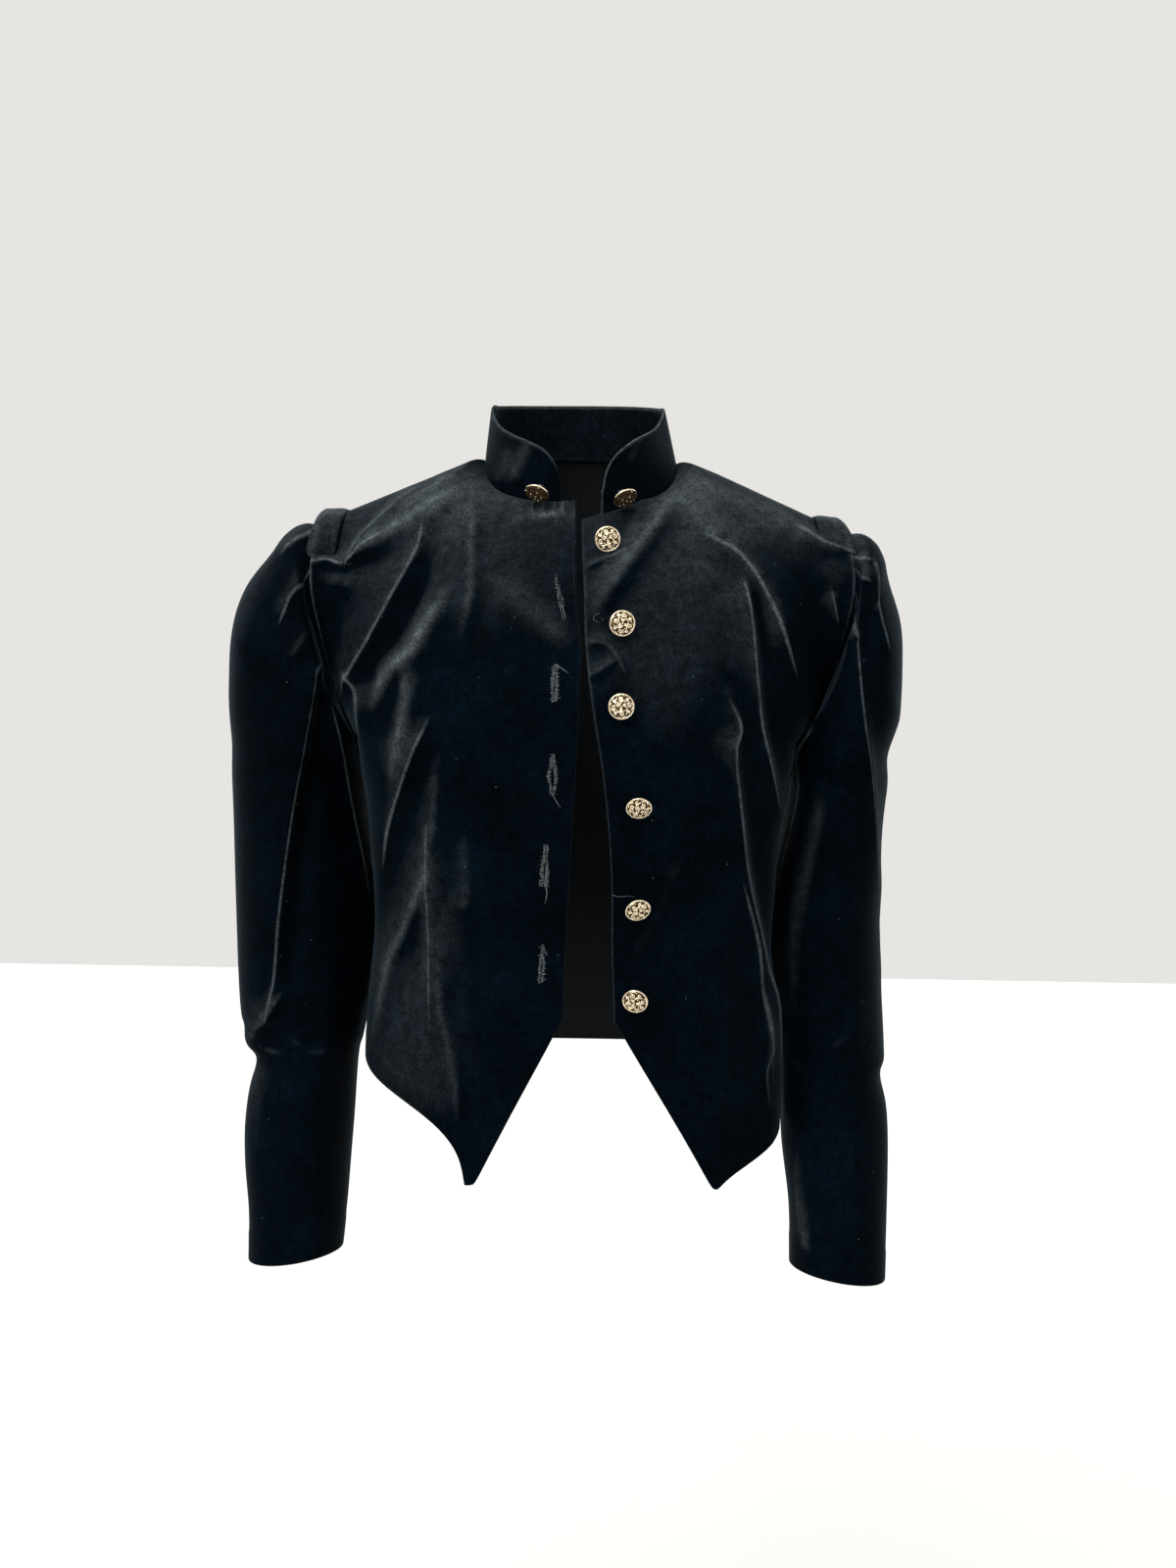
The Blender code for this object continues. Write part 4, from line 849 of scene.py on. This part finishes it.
def sleeveGrid(side):
    look = sleeveLook
    angle = np.linspace(0, 360, look["around"] + 1)
    p, n, o, fromUnder = armholeEdge(side, angle)
    first = sleevePoints(side, angle, np.zeros(angle.shape))
    zones = [ease((fromUnder - start) / span) for start, span in (look["lowZone"], look["deepZone"], look["highZone"])]
    low, deep, high = (1 - zones[0])[:, None], zones[1][:, None], zones[2][:, None]
    start = p + o * (look["gap"] * (1 - high) - look["lap"] * high) + n * (look["stand"] * low - look["under"] * deep)
    pastEdge = p + o * look["past"] - n * look["under"]
    leave = (start + (first - start) * look["leave"]) * (1 - deep) + pastEdge * deep
    between = (leave + first) / 2 + n * look["swell"] * deep
    second = sleevePoints(side, angle, np.full(angle.shape, 0.5))
    rings = [2 * start - leave, start, leave, between, first, second]
    rows = []
    for t in np.linspace(0, 3, look["headRows"], endpoint=False):  # smooth rows through the rings
        i = int(t)
        f = t - i
        a, b, c, d = rings[i:i + 4]
        rows.append(b + 0.5 * f * (c - a + f * (2 * a - 5 * b + 4 * c - d + f * (3 * (b - c) + d - a))))
    spots = np.concatenate((np.linspace(0, look["lastStop"], look["down"]), look["cuffStops"]))
    grid = np.concatenate((np.array(rows), sleevePoints(side, angle[None, :], spots[:, None])))
    a, b = look["jointRows"]
    for _ in range(look["jointPasses"]):  # ease the joint of head and body
        grid[a:b] = 0.25 * grid[a - 1:b - 1] + 0.5 * grid[a:b] + 0.25 * grid[a + 1:b + 1]
    return grid, angle


for side, word in bothSides:
    look = sleeveLook
    base, angle = sleeveGrid(side)
    normals = gridNormals(base, -side, True)
    shown = ease((look["shown"][0] - normals[..., 1]) / look["shown"][1])
    height, crest, lines = creaseField(*seenAt(base), sleeveCreases[side], sleevePatches[side])
    fromHead, fromCuff = reach(base, 0)
    rear = creaseField(np.broadcast_to(angle, base.shape[:2]), fromHead / mm, rearCreases)
    behind = shown < 0.5
    for line, (away, amount) in zip(lines, rear[2]):
        line[0] = np.where(behind, away, line[0])
        line[1] = np.where(behind, amount * (1 - 2 * shown), line[1] * (2 * shown - 1))
    height = height * shown + rear[0] * (1 - shown)
    crest = crest * shown + rear[1] * (1 - shown)
    height += softWaves(base, look["seed"] + side, look["wave"])
    height += look["headFull"][side] * bell(fromHead, *look["headAt"]) * bell(angle, *look["headTurn"])
    height *= ease((fromHead - look["free"][0]) / look["free"][1])
    height += turning(fromCuff, *look["turning"]) - turnedEdge(fromCuff, look["fold"])
    # painted highlight along the turned cuff
    cuffPale, cuffReach = look["cuffPale"]
    crest += cuffPale * bell(fromCuff, 0, cuffReach)
    crest += look["paintedHeadLight"] * shown * bell(fromHead, *look["paintedHeadLightAt"])  # painted light on the band below the armhole edge, lifting the shade there
    points = base + normals * height[..., None]
    clothPiece("sleeve_%s_cloth" % word, points, normals, crest, lines, "sleeve_" + word, look["thick"], True)

# pleat folded over each shoulder end, raised from the panels that carry it
pleatLook = {
    "columns": 34, "rows": 60, "from": {right: (1.490, 1.585), left: (1.625, 1.655)}, "thick": 0.0012,
    "high": (0.0012, 0.0105), "endHigh": (0.0030, 0.0046), "fullFrom": 0.7, "lowFrom": 0.8, "lift": 0.0002,
    "topShare": 0.095, "endShare": 0.150, "sharePower": 1.3, "endRound": 0.006, "innerRound": 0.22,
    "wavy": (0.88, 0.12, 5), "rollFrom": 0.66, "rollDown": 0.92, "over": 0.0042, "seed": 91, "wave": 0.0003,
    "plainPale": 0.06, "foldPale": 0.10, "foldAt": (0.84, 0.06), "endPale": 0.34, "endAt": (0.001, 0.0016),
    "topPale": 0.20, "topFrom": (0.28, 0.3), "innerShade": 0.25, "innerAt": (0, 0.06),
}


def rounded(away, radius):  # quarter round, 0 on an edge to 1 at the radius
    return np.sqrt(np.clip(1 - (1 - np.clip(away / radius, 0, 1)) ** 2, 0, 1))


for side, word in bothSides:
    look = pleatLook
    width = np.linspace(0, 1, look["columns"])[None, :]
    part = np.linspace(1, 0, look["rows"])[:, None]  # 1 at the front end, 0 on the shoulder seam
    inner, outer = look["from"][side]
    rise = 2 - part * (2 - inner - (outer - inner) * width)
    share = look["topShare"] + (look["endShare"] - look["topShare"]) * part ** look["sharePower"]
    across = 1 - share * (1 - width)
    base = np.concatenate((frontPoints(side, across, rise), backPoints(side * across, rise)[::-1][1:]))
    part = np.concatenate((part, part[::-1][1:]))
    normals = gridNormals(base, side)
    fromEnd = np.minimum(*reach(base, 0))
    swell = rounded(fromEnd, look["endRound"])
    least, more, waves = look["wavy"]
    body = rounded(width, look["innerRound"]) * (least + more * np.cos(width * waves))
    # the folded edge rolls over and under
    turned = np.clip((width - look["rollFrom"]) / (1 - look["rollFrom"]), 0, 1) * np.pi / 2
    full = np.minimum(width / look["fullFrom"], 1)
    low, top = [a + (b - a) * full for a, b in (look["endHigh"], look["high"])]
    stand = top + (low - top) * ease(part / look["lowFrom"])
    high = look["lift"] + stand * swell * body * np.cos(turned * look["rollDown"])
    high = high + softWaves(base, look["seed"] + side, look["wave"]) * swell * body
    outward = base[:, -1:] - base[:, -2:-1]
    outward /= np.linalg.norm(outward, axis=-1, keepdims=True)
    over = look["over"] * swell * np.sin(turned)
    points = base + normals * high[..., None] + outward * over[..., None]
    # painted highlights along the fold, the front end and the top, a little painted paleness all over, and painted
    # shade along the inner edge
    crest = look["foldPale"] * bell(width, *look["foldAt"]) + look["endPale"] * bell(fromEnd, *look["endAt"])
    topStart, topSpan = look["topFrom"]
    crest = crest + look["plainPale"] + look["topPale"] * (1 - ease((part - topStart) / topSpan))
    crest = crest - look["innerShade"] * bell(width, *look["innerAt"])
    name = "shoulder_pleat_" + word
    clothPiece(name + "_cloth", points, gridNormals(points, side), crest, (), name, look["thick"])

# stand collar on the neckline of the panels; heights run from each end to the back
collarLook = {
    "fromEnd": (0, 0.003, 0.008, 0.016, 0.030, 0.055, 0.090, 0.140),
    "high": {right: (0.013, 0.026, 0.0335, 0.0390, 0.0435, 0.0465, 0.0465, 0.0420),
             left: (0.015, 0.030, 0.0375, 0.0425, 0.0465, 0.0485, 0.0470, 0.0420)},
    "firstShare": {right: 0.178, left: 0.207}, "frontStops": 48, "backStops": 70, "columns": 150, "rows": 22,
    "eases": 6, "leanFront": -0.003, "leanSide": {right: 0.0035, left: 0.0105}, "leanReach": 0.09,
    "thick": 0.0032, "fold": 0.0016, "below": 0.003, "lift": 0.0006, "out": 0.0004, "tuck": (0.0012, 0.06),
    "shown": (0.1, 0.3), "insideShade": 0.6, "seed": 71, "wave": 0.0003, "edgePale": 0.14, "paleReach": 0.0018,
}
# collar creases and a soft patch, pale along their tops as painted highlight and brushed pile
collarCreases = [
    ([(540, 452), (530, 474), (520, 497)], 7, 7, 0.9, 0.13, 6),
    ([(522, 458), (514, 480), (506, 494)], 7, 7, 0.7, 0.08, 7),
    ([(512, 420), (530, 440), (552, 452)], 8, 8, 0.7, 0.07, 6),
    ([(660, 440), (650, 462), (640, 480)], 8, 8, 0.9, 0.07, 7),
]
collarPatches = [((648, 468), (26, 36), 0, 0.07)]
look = collarLook
neckRuns = []
for side, word in bothSides:
    cut = frontCut[side]
    first = cut["pointShare"] * look["firstShare"][side]
    across = np.linspace(first, neckShare(cut), look["frontStops"], endpoint=False)
    neckRuns.append(frontPoints(side, across, np.full(across.shape, 2.0)))
backShare = np.linspace(-bodyForm["backNeckShare"], bodyForm["backNeckShare"], look["backStops"])
backRun = backPoints(backShare, np.full(backShare.shape, 2.0))
line = np.concatenate((neckRuns[0], backRun, neckRuns[1][::-1]))
steps = np.concatenate(((0,), np.cumsum(np.linalg.norm(np.diff(line, axis=0), axis=1))))
spots = steps[-1] * tightStops(look["columns"])
line = np.stack([np.interp(spots, steps, line[:, k]) for k in range(3)], -1)
for _ in range(look["eases"]):  # ease the small corner where neckline and shoulder meet
    line[1:-1] = 0.25 * line[:-2] + 0.5 * line[1:-1] + 0.25 * line[2:]
fromEnd = np.minimum(spots, spots[-1] - spots)
highs = [smoothLine(look["fromEnd"], look["high"][side], fromEnd) for side in (right, left)]
high = np.where(line[:, 0] < 0, *highs)
along = np.gradient(line, axis=0)
outward = np.stack((-along[:, 1], along[:, 0], np.zeros(len(line))), -1)
outward /= np.linalg.norm(outward, axis=1, keepdims=True)
outward *= np.sign((outward[:, :2] * line[:, :2]).sum(1))[:, None]
toLeft = ease(0.5 + line[:, 0] / (2 * bodyForm["neckHalf"]))
leanSide = look["leanSide"][right] * (1 - toLeft) + look["leanSide"][left] * toLeft
lean = look["leanFront"] + (leanSide - look["leanFront"]) * ease(fromEnd / look["leanReach"])
share = tightStops(look["rows"])[:, None]
up = look["lift"] - look["below"] + (high + look["below"]) * share
tuck, tuckShare = look["tuck"]
out = look["out"] - tuck * (1 - share / tuckShare).clip(0, 1) - lean * share
base = line[None] + outward[None] * out[..., None]
base[..., 2] += up
normals = gridNormals(base, -1)
if (normals[5, 5] * outward[5]).sum() < 0:
    normals = -normals
height, crest, lines = creaseField(*seenAt(base), collarCreases, collarPatches)
shown = ease((look["shown"][0] - normals[..., 1]) / look["shown"][1])
height = height * shown + softWaves(base, look["seed"], look["wave"])
# painted shade on the collar's inside where it turns to the back
crest = crest * shown - look["insideShade"] * paintedLightLook["behindLeast"] * turnedAway(normals)
for mark in lines:
    mark[1] = mark[1] * shown
_, fromTop = reach(base, 0)
endRight, endLeft = reach(base, 1)
for away in (fromTop, endRight, endLeft):
    height -= turnedEdge(away, look["fold"])
# painted highlight along the top edge and both ends
crest += look["edgePale"] * bell(np.minimum(fromTop, np.minimum(endRight, endLeft)), 0, look["paleReach"])
points = base + normals * height[..., None]
trees["collar"] = clothPiece("collar_cloth", points, normals, crest, lines, "collar", look["thick"])
pieces["collar_cloth"].modifiers["wall"].material_offset = 0  # faced with its own velvet

# buttons: stamped scrollwork on a browned ground, inside a plain rim, on a wire shank
buttonLook = {
    "radius": 0.0100, "size": 0.94, "rim": 0.00062, "rimHigh": 0.0015, "rimSteps": 13, "rimOval": 1.05,
    "dome": 0.0049, "drop": 0.0031, "sink": 0.0010, "groundRings": (0.002, 0.004, 0.006, 0.0076, 0.0089),
    "underRim": 0.0008, "under": ((0.0086, 0.0002), (0.0046, 0.0), (0.0, -0.0001)), "wire": 0.00052,
    "shankHalf": 0.0019, "shankWire": 0.0006, "shankTop": 0.0002, "shankSteps": 15,
    "wrapHalf": 0.0011, "wrapFrom": 0.0003, "wrapHigh": 0.0012, "wrapTurn": 25, "wrapSteps": 60, "wrapWire": 0.00032,
    "threadWire": 0.0005, "threadIn": 0.0010,
}
# curls: how many, first angle, ring, size, start of the curl, turns, way of the even and of the odd ones
curlRows = [
    (4, 0.0, 0.0058, 0.0021, 2.4, 1.5, (-1, 1)),
    (4, 0.79, 0.0070, 0.0013, 3.4, 1.2, (1, -1)),
    (3, 0.4, 0.0026, 0.0013, 2.9, 1.25, (1, 1)),
]
# leaves: points, first and last ring, bow of the ring, first angle, turn, least and added thickness
leafRows = [
    (14, 0.0072, 0.0016, 0.0, 0.35, 1.5, 0.6, 0.5),
    (10, 0.0086, 0.0086, 0.0005, -0.48, 0.80, 0.5, 0.7),
]
beadRows = [(0.0042, 0.00060)] * 4 + [(0.0086, 0.00050)] * 2 + [(0.0, 0.00060)]  # ring and radius
curlShape = {"points": 26, "wind": 0.86, "windPower": 0.8, "thick": 1.15, "thin": 0.45}


def domeHigh(r):
    return buttonLook["dome"] - buttonLook["drop"] * (r / buttonLook["radius"]) ** 2


def onRing(r, angle, z):
    return r * math.cos(angle), r * math.sin(angle), z


def addTubes(bm, paths, wire, material, sides=1):  # paths: points and thickness shares
    data = bpy.data.curves.new("tubes", "CURVE")
    data.dimensions, data.use_fill_caps = "3D", True
    data.bevel_depth, data.bevel_resolution = wire, sides
    for points, shares in paths:
        spline = data.splines.new("POLY")
        spline.points.add(len(points) - 1)
        for spot, p, share in zip(spline.points, points, shares):
            spot.co = (*p, 1)
            spot.radius = share
    holder = bpy.data.objects.new("tubes", data)
    bpy.context.scene.collection.objects.link(holder)
    mesh = bpy.data.meshes.new_from_object(holder.evaluated_get(bpy.context.evaluated_depsgraph_get()))
    before = len(bm.faces)
    bm.from_mesh(mesh)
    bm.faces.ensure_lookup_table()
    for face in bm.faces[before:]:
        face.material_index = material
    bpy.data.objects.remove(holder)
    bpy.data.curves.remove(data)
    bpy.data.meshes.remove(mesh)


def spunRing(bm, profile, material, steps=48):  # a few vertices turned about the button's axis
    verts = [bm.verts.new((r, 0, z)) for r, z in profile]
    edges = [bm.edges.new(pair) for pair in zip(verts, verts[1:])]
    before = set(bm.faces)
    bmesh.ops.spin(
        bm, geom=verts + edges, cent=(0, 0, 0), axis=(0, 0, 1), angle=2 * math.pi, steps=steps, use_merge=True
    )
    made = [face for face in bm.faces if face not in before]
    for face in made:
        face.material_index = material
    bmesh.ops.remove_doubles(bm, verts=list({v for face in made for v in face.verts}), dist=1e-6)


def scroll(middle, size, begin, turns, way, lift):  # a curl that winds in to a point
    points, shares = [], []
    for t in np.linspace(0, 1, curlShape["points"]):
        r = size * (1 - curlShape["wind"] * t ** curlShape["windPower"])
        dx, dy, _ = onRing(r, begin + way * turns * 2 * math.pi * t, 0)
        x, y = middle[0] + dx, middle[1] + dy
        points.append((x, y, domeHigh(math.hypot(x, y)) + lift))
        shares.append(curlShape["thick"] - curlShape["thin"] * t)
    return points, shares


def leaf(a, lift, count, first, last, bow, begin, turn, least, more):
    points, shares = [], []
    for t in np.linspace(0, 1, count):
        r = first + (last - first) * t - bow * math.cos(6.28 * t)
        points.append(onRing(r, a + begin + turn * t, lift + domeHigh(r)))
        shares.append(least + more * math.sin(math.pi * t))
    return points, shares


def buttonMesh(shank, relief):  # axis +Z, standing on the cloth at z 0
    look = buttonLook
    bm = bmesh.new()
    ground = [(0.0, shank + look["dome"] - look["sink"])]
    ground += [(r, shank + domeHigh(r) - look["sink"]) for r in look["groundRings"]]
    spunRing(bm, ground, 1)
    rim, bead = look["radius"] - look["rim"], look["rim"]
    turns = np.linspace(0, 2 * math.pi, look["rimSteps"])
    rimZ = shank + look["rimHigh"]
    spunRing(bm, [(rim + bead * math.cos(a), rimZ + bead * look["rimOval"] * math.sin(a)) for a in turns], 0)
    spunRing(bm, [(rim, shank + look["underRim"])] + [(r, shank + z) for r, z in look["under"]], 0)
    paths = []
    for count, first, ring, size, begin, turns, ways in curlRows:
        for k in range(count):
            a = first + 2 * math.pi * k / count
            paths.append(scroll(onRing(ring, a, 0), size, a + begin, turns, ways[k % 2], shank))
    paths += [leaf(math.pi * k / 2, shank, *row) for row in leafRows for k in range(4)]
    addTubes(bm, paths, look["wire"], relief)
    for k, (ring, radius) in enumerate(beadRows):  # beads between the curls
        spot = Matrix.Translation(onRing(ring, math.pi * (k + 0.42) / 2, shank + domeHigh(ring) + 0.0001))
        bmesh.ops.create_uvsphere(bm, u_segments=10, v_segments=6, radius=radius, matrix=spot)
    arch = []
    for a in np.linspace(0, math.pi, look["shankSteps"]):
        deep = look["shankTop"] + (shank - 2 * look["shankTop"]) * math.sin(a)
        arch.append((look["shankHalf"] * math.cos(a), 0, shank - deep))
    addTubes(bm, [(arch, [1] * len(arch))], look["shankWire"], 0, 2)
    wraps = []
    for t in np.linspace(0, look["wrapTurn"], look["wrapSteps"]):
        wraps.append(onRing(look["wrapHalf"], t, look["wrapFrom"] + look["wrapHigh"] * t / look["wrapTurn"]))
    addTubes(bm, [(wraps, [1] * len(wraps))], look["wrapWire"], 2)
    bmesh.ops.recalc_face_normals(bm, faces=bm.faces)
    return bm


def buttonSeat(tree, px, py, axis, stand, thread):  # foot of a button whose rim is seen at a pixel, and its cloth
    x, y = px, py
    for _ in range(6):
        spot, normal = hitCloth(tree, x, y)
        seat = spot + normal * thread
        atX, atY = seenAt(np.array(seat + axis * stand))
        x, y = x + px - atX, y + py - atY
    return seat, spot


# what carries it, pixel of its middle, way it faces, turn in degrees, height to the rim, loose thread
buttonRows = {
    "button_1": (left, (620, 550), (0.06, -1, -0.10), 20, 0.0072, 0.0004),
    "button_2": (left, (635, 636), (0.10, -1, -0.12), 75, 0.0072, 0.0004),
    "button_3": (left, (634, 721), (0.0, -1, 0.0), 8, 0.0072, 0.0004),
    "button_4": (left, (652, 825), (0.0, -0.76, -0.62), -30, 0.0084, 0.0004),
    "button_5": (left, (651, 929), (0.20, -0.79, -0.56), 50, 0.0084, 0.0004),
    "button_6": (left, (648, 1022), (-0.15, -0.88, -0.42), 100, 0.0078, 0.0004),
    "collar_button_right": ("collar", (548, 503), (-0.26, -0.45, -0.86), 15, 0.0076, 0.0052),
    "collar_button_left": ("collar", (638, 508), (0.36, -0.47, -0.81), -40, 0.0076, 0.0052),
}
for name, (carrier, pixel, facing, turn, stand, thread) in buttonRows.items():
    axis = Vector(facing).normalized()
    seat, spot = buttonSeat(trees[carrier], *pixel, axis, stand, thread)
    # the drooping collar pair take the dark browned material on their scrolls too: painted shade, as they face down
    # away from the light
    relief = 1 if carrier == "collar" else 0
    bm = buttonMesh(stand / buttonLook["size"] - buttonLook["rimHigh"], relief)
    place = Matrix.Translation(seat) @ axis.to_track_quat("Z", "Y").to_matrix().to_4x4()
    place = place @ Matrix.Rotation(math.radians(turn), 4, "Z") @ Matrix.Scale(buttonLook["size"], 4)
    bmesh.ops.transform(bm, matrix=place, verts=bm.verts)
    addTubes(bm, [((spot, seat + axis * buttonLook["threadIn"]), (1, 1))], buttonLook["threadWire"], 2)
    made = toObject(name + "_gilt", bm, (gilt, browned, blackThread))
    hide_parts(name)
print("buttons made")

# worked buttonholes of the right front and the loose threads, all placed on the cloth
# path, half widths in mm and share of pale stitches down it, opening in mm
buttonholes = [
    ([(567, 586), (571, 608), (576, 633)], (0.3, 1.3, 1.7, 1.4, 0.3), (0.10, 0.30, 0.45, 0.40, 0.15), 0.3),
    ([(567, 678), (566, 698), (566, 716)], (2.4, 2.5, 2.6, 2.7, 2.3), (0.70, 0.45, 0.60, 0.40, 0.65), 0.3),
    ([(564, 770), (564, 790), (564, 811)], (1.5, 2.2, 2.6, 2.4, 1.2), (0.55, 0.50, 0.65, 0.60, 0.50), 1.5),
    ([(557, 862), (556, 884), (555, 904)], (1.6, 1.7, 2.2, 3.0, 3.2), (0.50, 0.45, 0.55, 0.70, 0.80), 0.4),
    ([(554, 964), (553, 984), (552, 1003)], (0.9, 1.3, 1.9, 2.0, 1.6), (0.12, 0.30, 0.60, 0.65, 0.45), 0.3),
]
stitchLook = {
    "count": 52, "thread": 0.00024, "skip": 0.16, "long": (0.65, 1.15), "lift": 0.0005, "slant": 0.5, "cap": 0.0002,
    "openAt": (0.58, 0.2), "lips": 0.0001,
    "cordEvery": 4, "cordSteps": 7, "cordChance": (0.35, 0.6), "cordPlaces": (0.12, 0.5, 0.95), "cordStray": (0.9, 1.1),
    "cordLift": 0.0006, "cordShares": (0.5, 1.1, 1.4, 1.5, 1.3, 1.0, 0.4),
    "fray": 0.00015, "frayChance": 0.5, "frayFrom": (0.0005, 0.0025), "frayLong": (0.0012, 0.0030), "frayLift": 0.0004,
}
rng = random.Random(5)
look = stitchLook
bm = bmesh.new()
fray = []
for path, widths, pales, opening in buttonholes:
    spots = [hitCloth(trees[right], *p) for p in bentLine(path, look["count"])]
    last = len(spots) - 1
    for i, (spot, normal) in enumerate(spots):
        t = i / last
        lip, pale = [np.interp(t, np.linspace(0, 1, len(row)), row) for row in (widths, pales)]
        down = (spots[min(i + 1, last)][0] - spots[max(i - 1, 0)][0]).normalized()
        aside = normal.cross(down).normalized()
        gap = opening * mm * bell(t, *look["openAt"]) + look["lips"]
        for way in (-1, 1):
            if rng.random() < look["skip"]:
                continue
            long = lip * mm * rng.uniform(*look["long"])
            middle = spot + aside * way * (gap + long / 2) + normal * rng.uniform(0.0, look["lift"])
            slant = aside * rng.uniform(-look["slant"], look["slant"])
            turn = Matrix((aside, down + slant, normal)).transposed().to_4x4()
            size = Matrix.Diagonal((long / 2 + look["cap"], look["thread"], look["thread"], 1))
            place = Matrix.Translation(middle) @ turn @ size
            made = bmesh.ops.create_uvsphere(bm, u_segments=6, v_segments=4, radius=1, matrix=place)
            colourPick = 0 if rng.random() < pale else 1
            for face in {f for vert in made["verts"] for f in vert.link_faces}:
                face.material_index = colourPick
            # worn cord along the lip, broken here and there
            least, more = look["cordChance"]
            whole = i % look["cordEvery"] == 0 and i + look["cordSteps"] <= last
            if whole and rng.random() < least + more * pale:
                shift = way * (gap + lip * mm * rng.choice(look["cordPlaces"]))
                stretch = spots[i:i + look["cordSteps"]]
                cord = [q + aside * shift * rng.uniform(*look["cordStray"]) + m * look["cordLift"] for q, m in stretch]
                fray.append((cord, look["cordShares"]))
        if rng.random() < look["frayChance"] * pale:
            way = rng.choice((-1, 1))
            start = spot + aside * way * rng.uniform(*look["frayFrom"]) + normal * look["frayLift"]
            aim = aside * way * rng.uniform(0.2, 1) + down * rng.uniform(-0.6, 0.9) + normal * 0.2
            far = rng.uniform(*look["frayLong"])
            fray.append(([start, start + aim * far * 0.5 + normal * 0.0003, start + aim * far], (1, 0.9, 0.5)))
# loose ends, pixel paths
looseEnds = [
    (right, [(566, 678), (571, 681), (575, 684), (580, 687)], 1.9),
    (right, [(564, 811), (567, 816), (570, 821), (572, 824)], 1.5),
    (right, [(556, 903), (558, 908), (558, 914), (556, 922)], 2.2),
    (left, [(612, 626), (607, 628), (606, 633), (612, 636)], 1.1),
    (left, [(625, 913), (632, 915), (640, 914), (648, 915)], 1.1),
]
looseLook = {"points": 14, "lift": 0.0006, "arch": 0.0010, "thinning": (0.8, 0.6, 0.5, 0.3)}
for side, path, share in looseEnds:
    points = []
    for i, p in enumerate(bentLine(path, looseLook["points"])):
        spot, normal = hitCloth(trees[side], *p)
        arch = looseLook["arch"] * math.sin(math.pi * i / (looseLook["points"] - 1))
        points.append(spot + normal * (looseLook["lift"] + arch))
    thinning = [share * part for part in looseLook["thinning"]]
    fray.append((points, [share] * (len(points) - len(thinning)) + thinning))
addTubes(bm, fray, stitchLook["fray"], 0)
made = toObject("buttonhole_stitching", bm, (greyThread, blackThread))
print("buttonholes made")

# studio: pale floor well below, soft daylight from the upper left, camera at the picture's place
studio = {
    "floor": -1.25, "floorHalf": 8.0, "floorColours": ("#dbdad7", "#dfdedb"), "floorCloud": (1 / 3, 2.0),
    "floorShader": {"Roughness": 0.9}, "worldColour": "#eceae6",
    "worldPower": 0.15, "worldSeen": 0.95, "worldGloss": 0.55,
}
bm = bmesh.new()
floorPlace = Matrix.Translation((0, 0, studio["floor"]))
bmesh.ops.create_grid(bm, x_segments=1, y_segments=1, size=studio["floorHalf"], matrix=floorPlace)
floorMaterial, tree, shader = newMaterial("palePaintedFloor")
cloud = noise(tree, objectPlace(tree), *studio["floorCloud"])
finishShader(tree, shader, blended(tree, cloud, *studio["floorColours"]), studio["floorShader"])
mesh = bpy.data.meshes.new("floor")
bm.to_mesh(mesh)
bm.free()
mesh.materials.append(floorMaterial)
floor = bpy.data.objects.new("floor", mesh)
bpy.context.scene.collection.objects.link(floor)

world = bpy.data.worlds.new("paleRoom")
bpy.context.scene.world = world
world.use_nodes = True
tree = world.node_tree
glow = tree.nodes["Background"]
glow.inputs["Color"].default_value = linear(studio["worldColour"])
seen = addNode(tree, "ShaderNodeLightPath", {}).outputs
strengths = {3: studio["worldPower"], 4: studio["worldGloss"]}
gloss = addNode(tree, "ShaderNodeMapRange", strengths, {0: seen["Is Glossy Ray"]}).outputs[0]
power = addNode(tree, "ShaderNodeMapRange", {4: studio["worldSeen"]}, {0: seen["Is Camera Ray"], 3: gloss})
tree.links.new(power.outputs[0], glow.inputs["Strength"])
bpy.context.scene.view_settings.view_transform = "Standard"

lamps = {  # direction that the light comes from, spread in degrees and strength
    "windowKey": ((-0.55, -0.75, 0.75), 50, 2.6),
    "softFill": ((0.80, -0.70, 0.25), 60, 0.5),
    "topLight": ((0.05, -0.25, 1.00), 60, 1.2),
    "backFill": ((-0.35, 0.90, 0.45), 70, 1.8),
    "sideFill": ((0.75, 0.70, 0.35), 70, 1.3),
}
for name, (aim, spread, strength) in lamps.items():
    data = bpy.data.lights.new(name, "SUN")
    data.angle, data.energy = math.radians(spread), strength
    lamp = bpy.data.objects.new(name, data)
    lamp.location = Vector(aim) * 2
    lamp.rotation_euler = (-Vector(aim)).to_track_quat("-Z", "Y").to_euler()
    bpy.context.scene.collection.objects.link(lamp)

cameraData = bpy.data.cameras.new("camera")
cameraData.lens, cameraData.sensor_width = viewFrom["lens"], viewFrom["sensor"]
camera = bpy.data.objects.new("camera", cameraData)
camera.location = viewFrom["place"]
camera.rotation_euler = (math.radians(90), 0, 0)
camera.rotation_euler.rotate_axis("Z", rollTurn)
bpy.context.scene.collection.objects.link(camera)
bpy.context.scene.camera = camera
print("studio made")
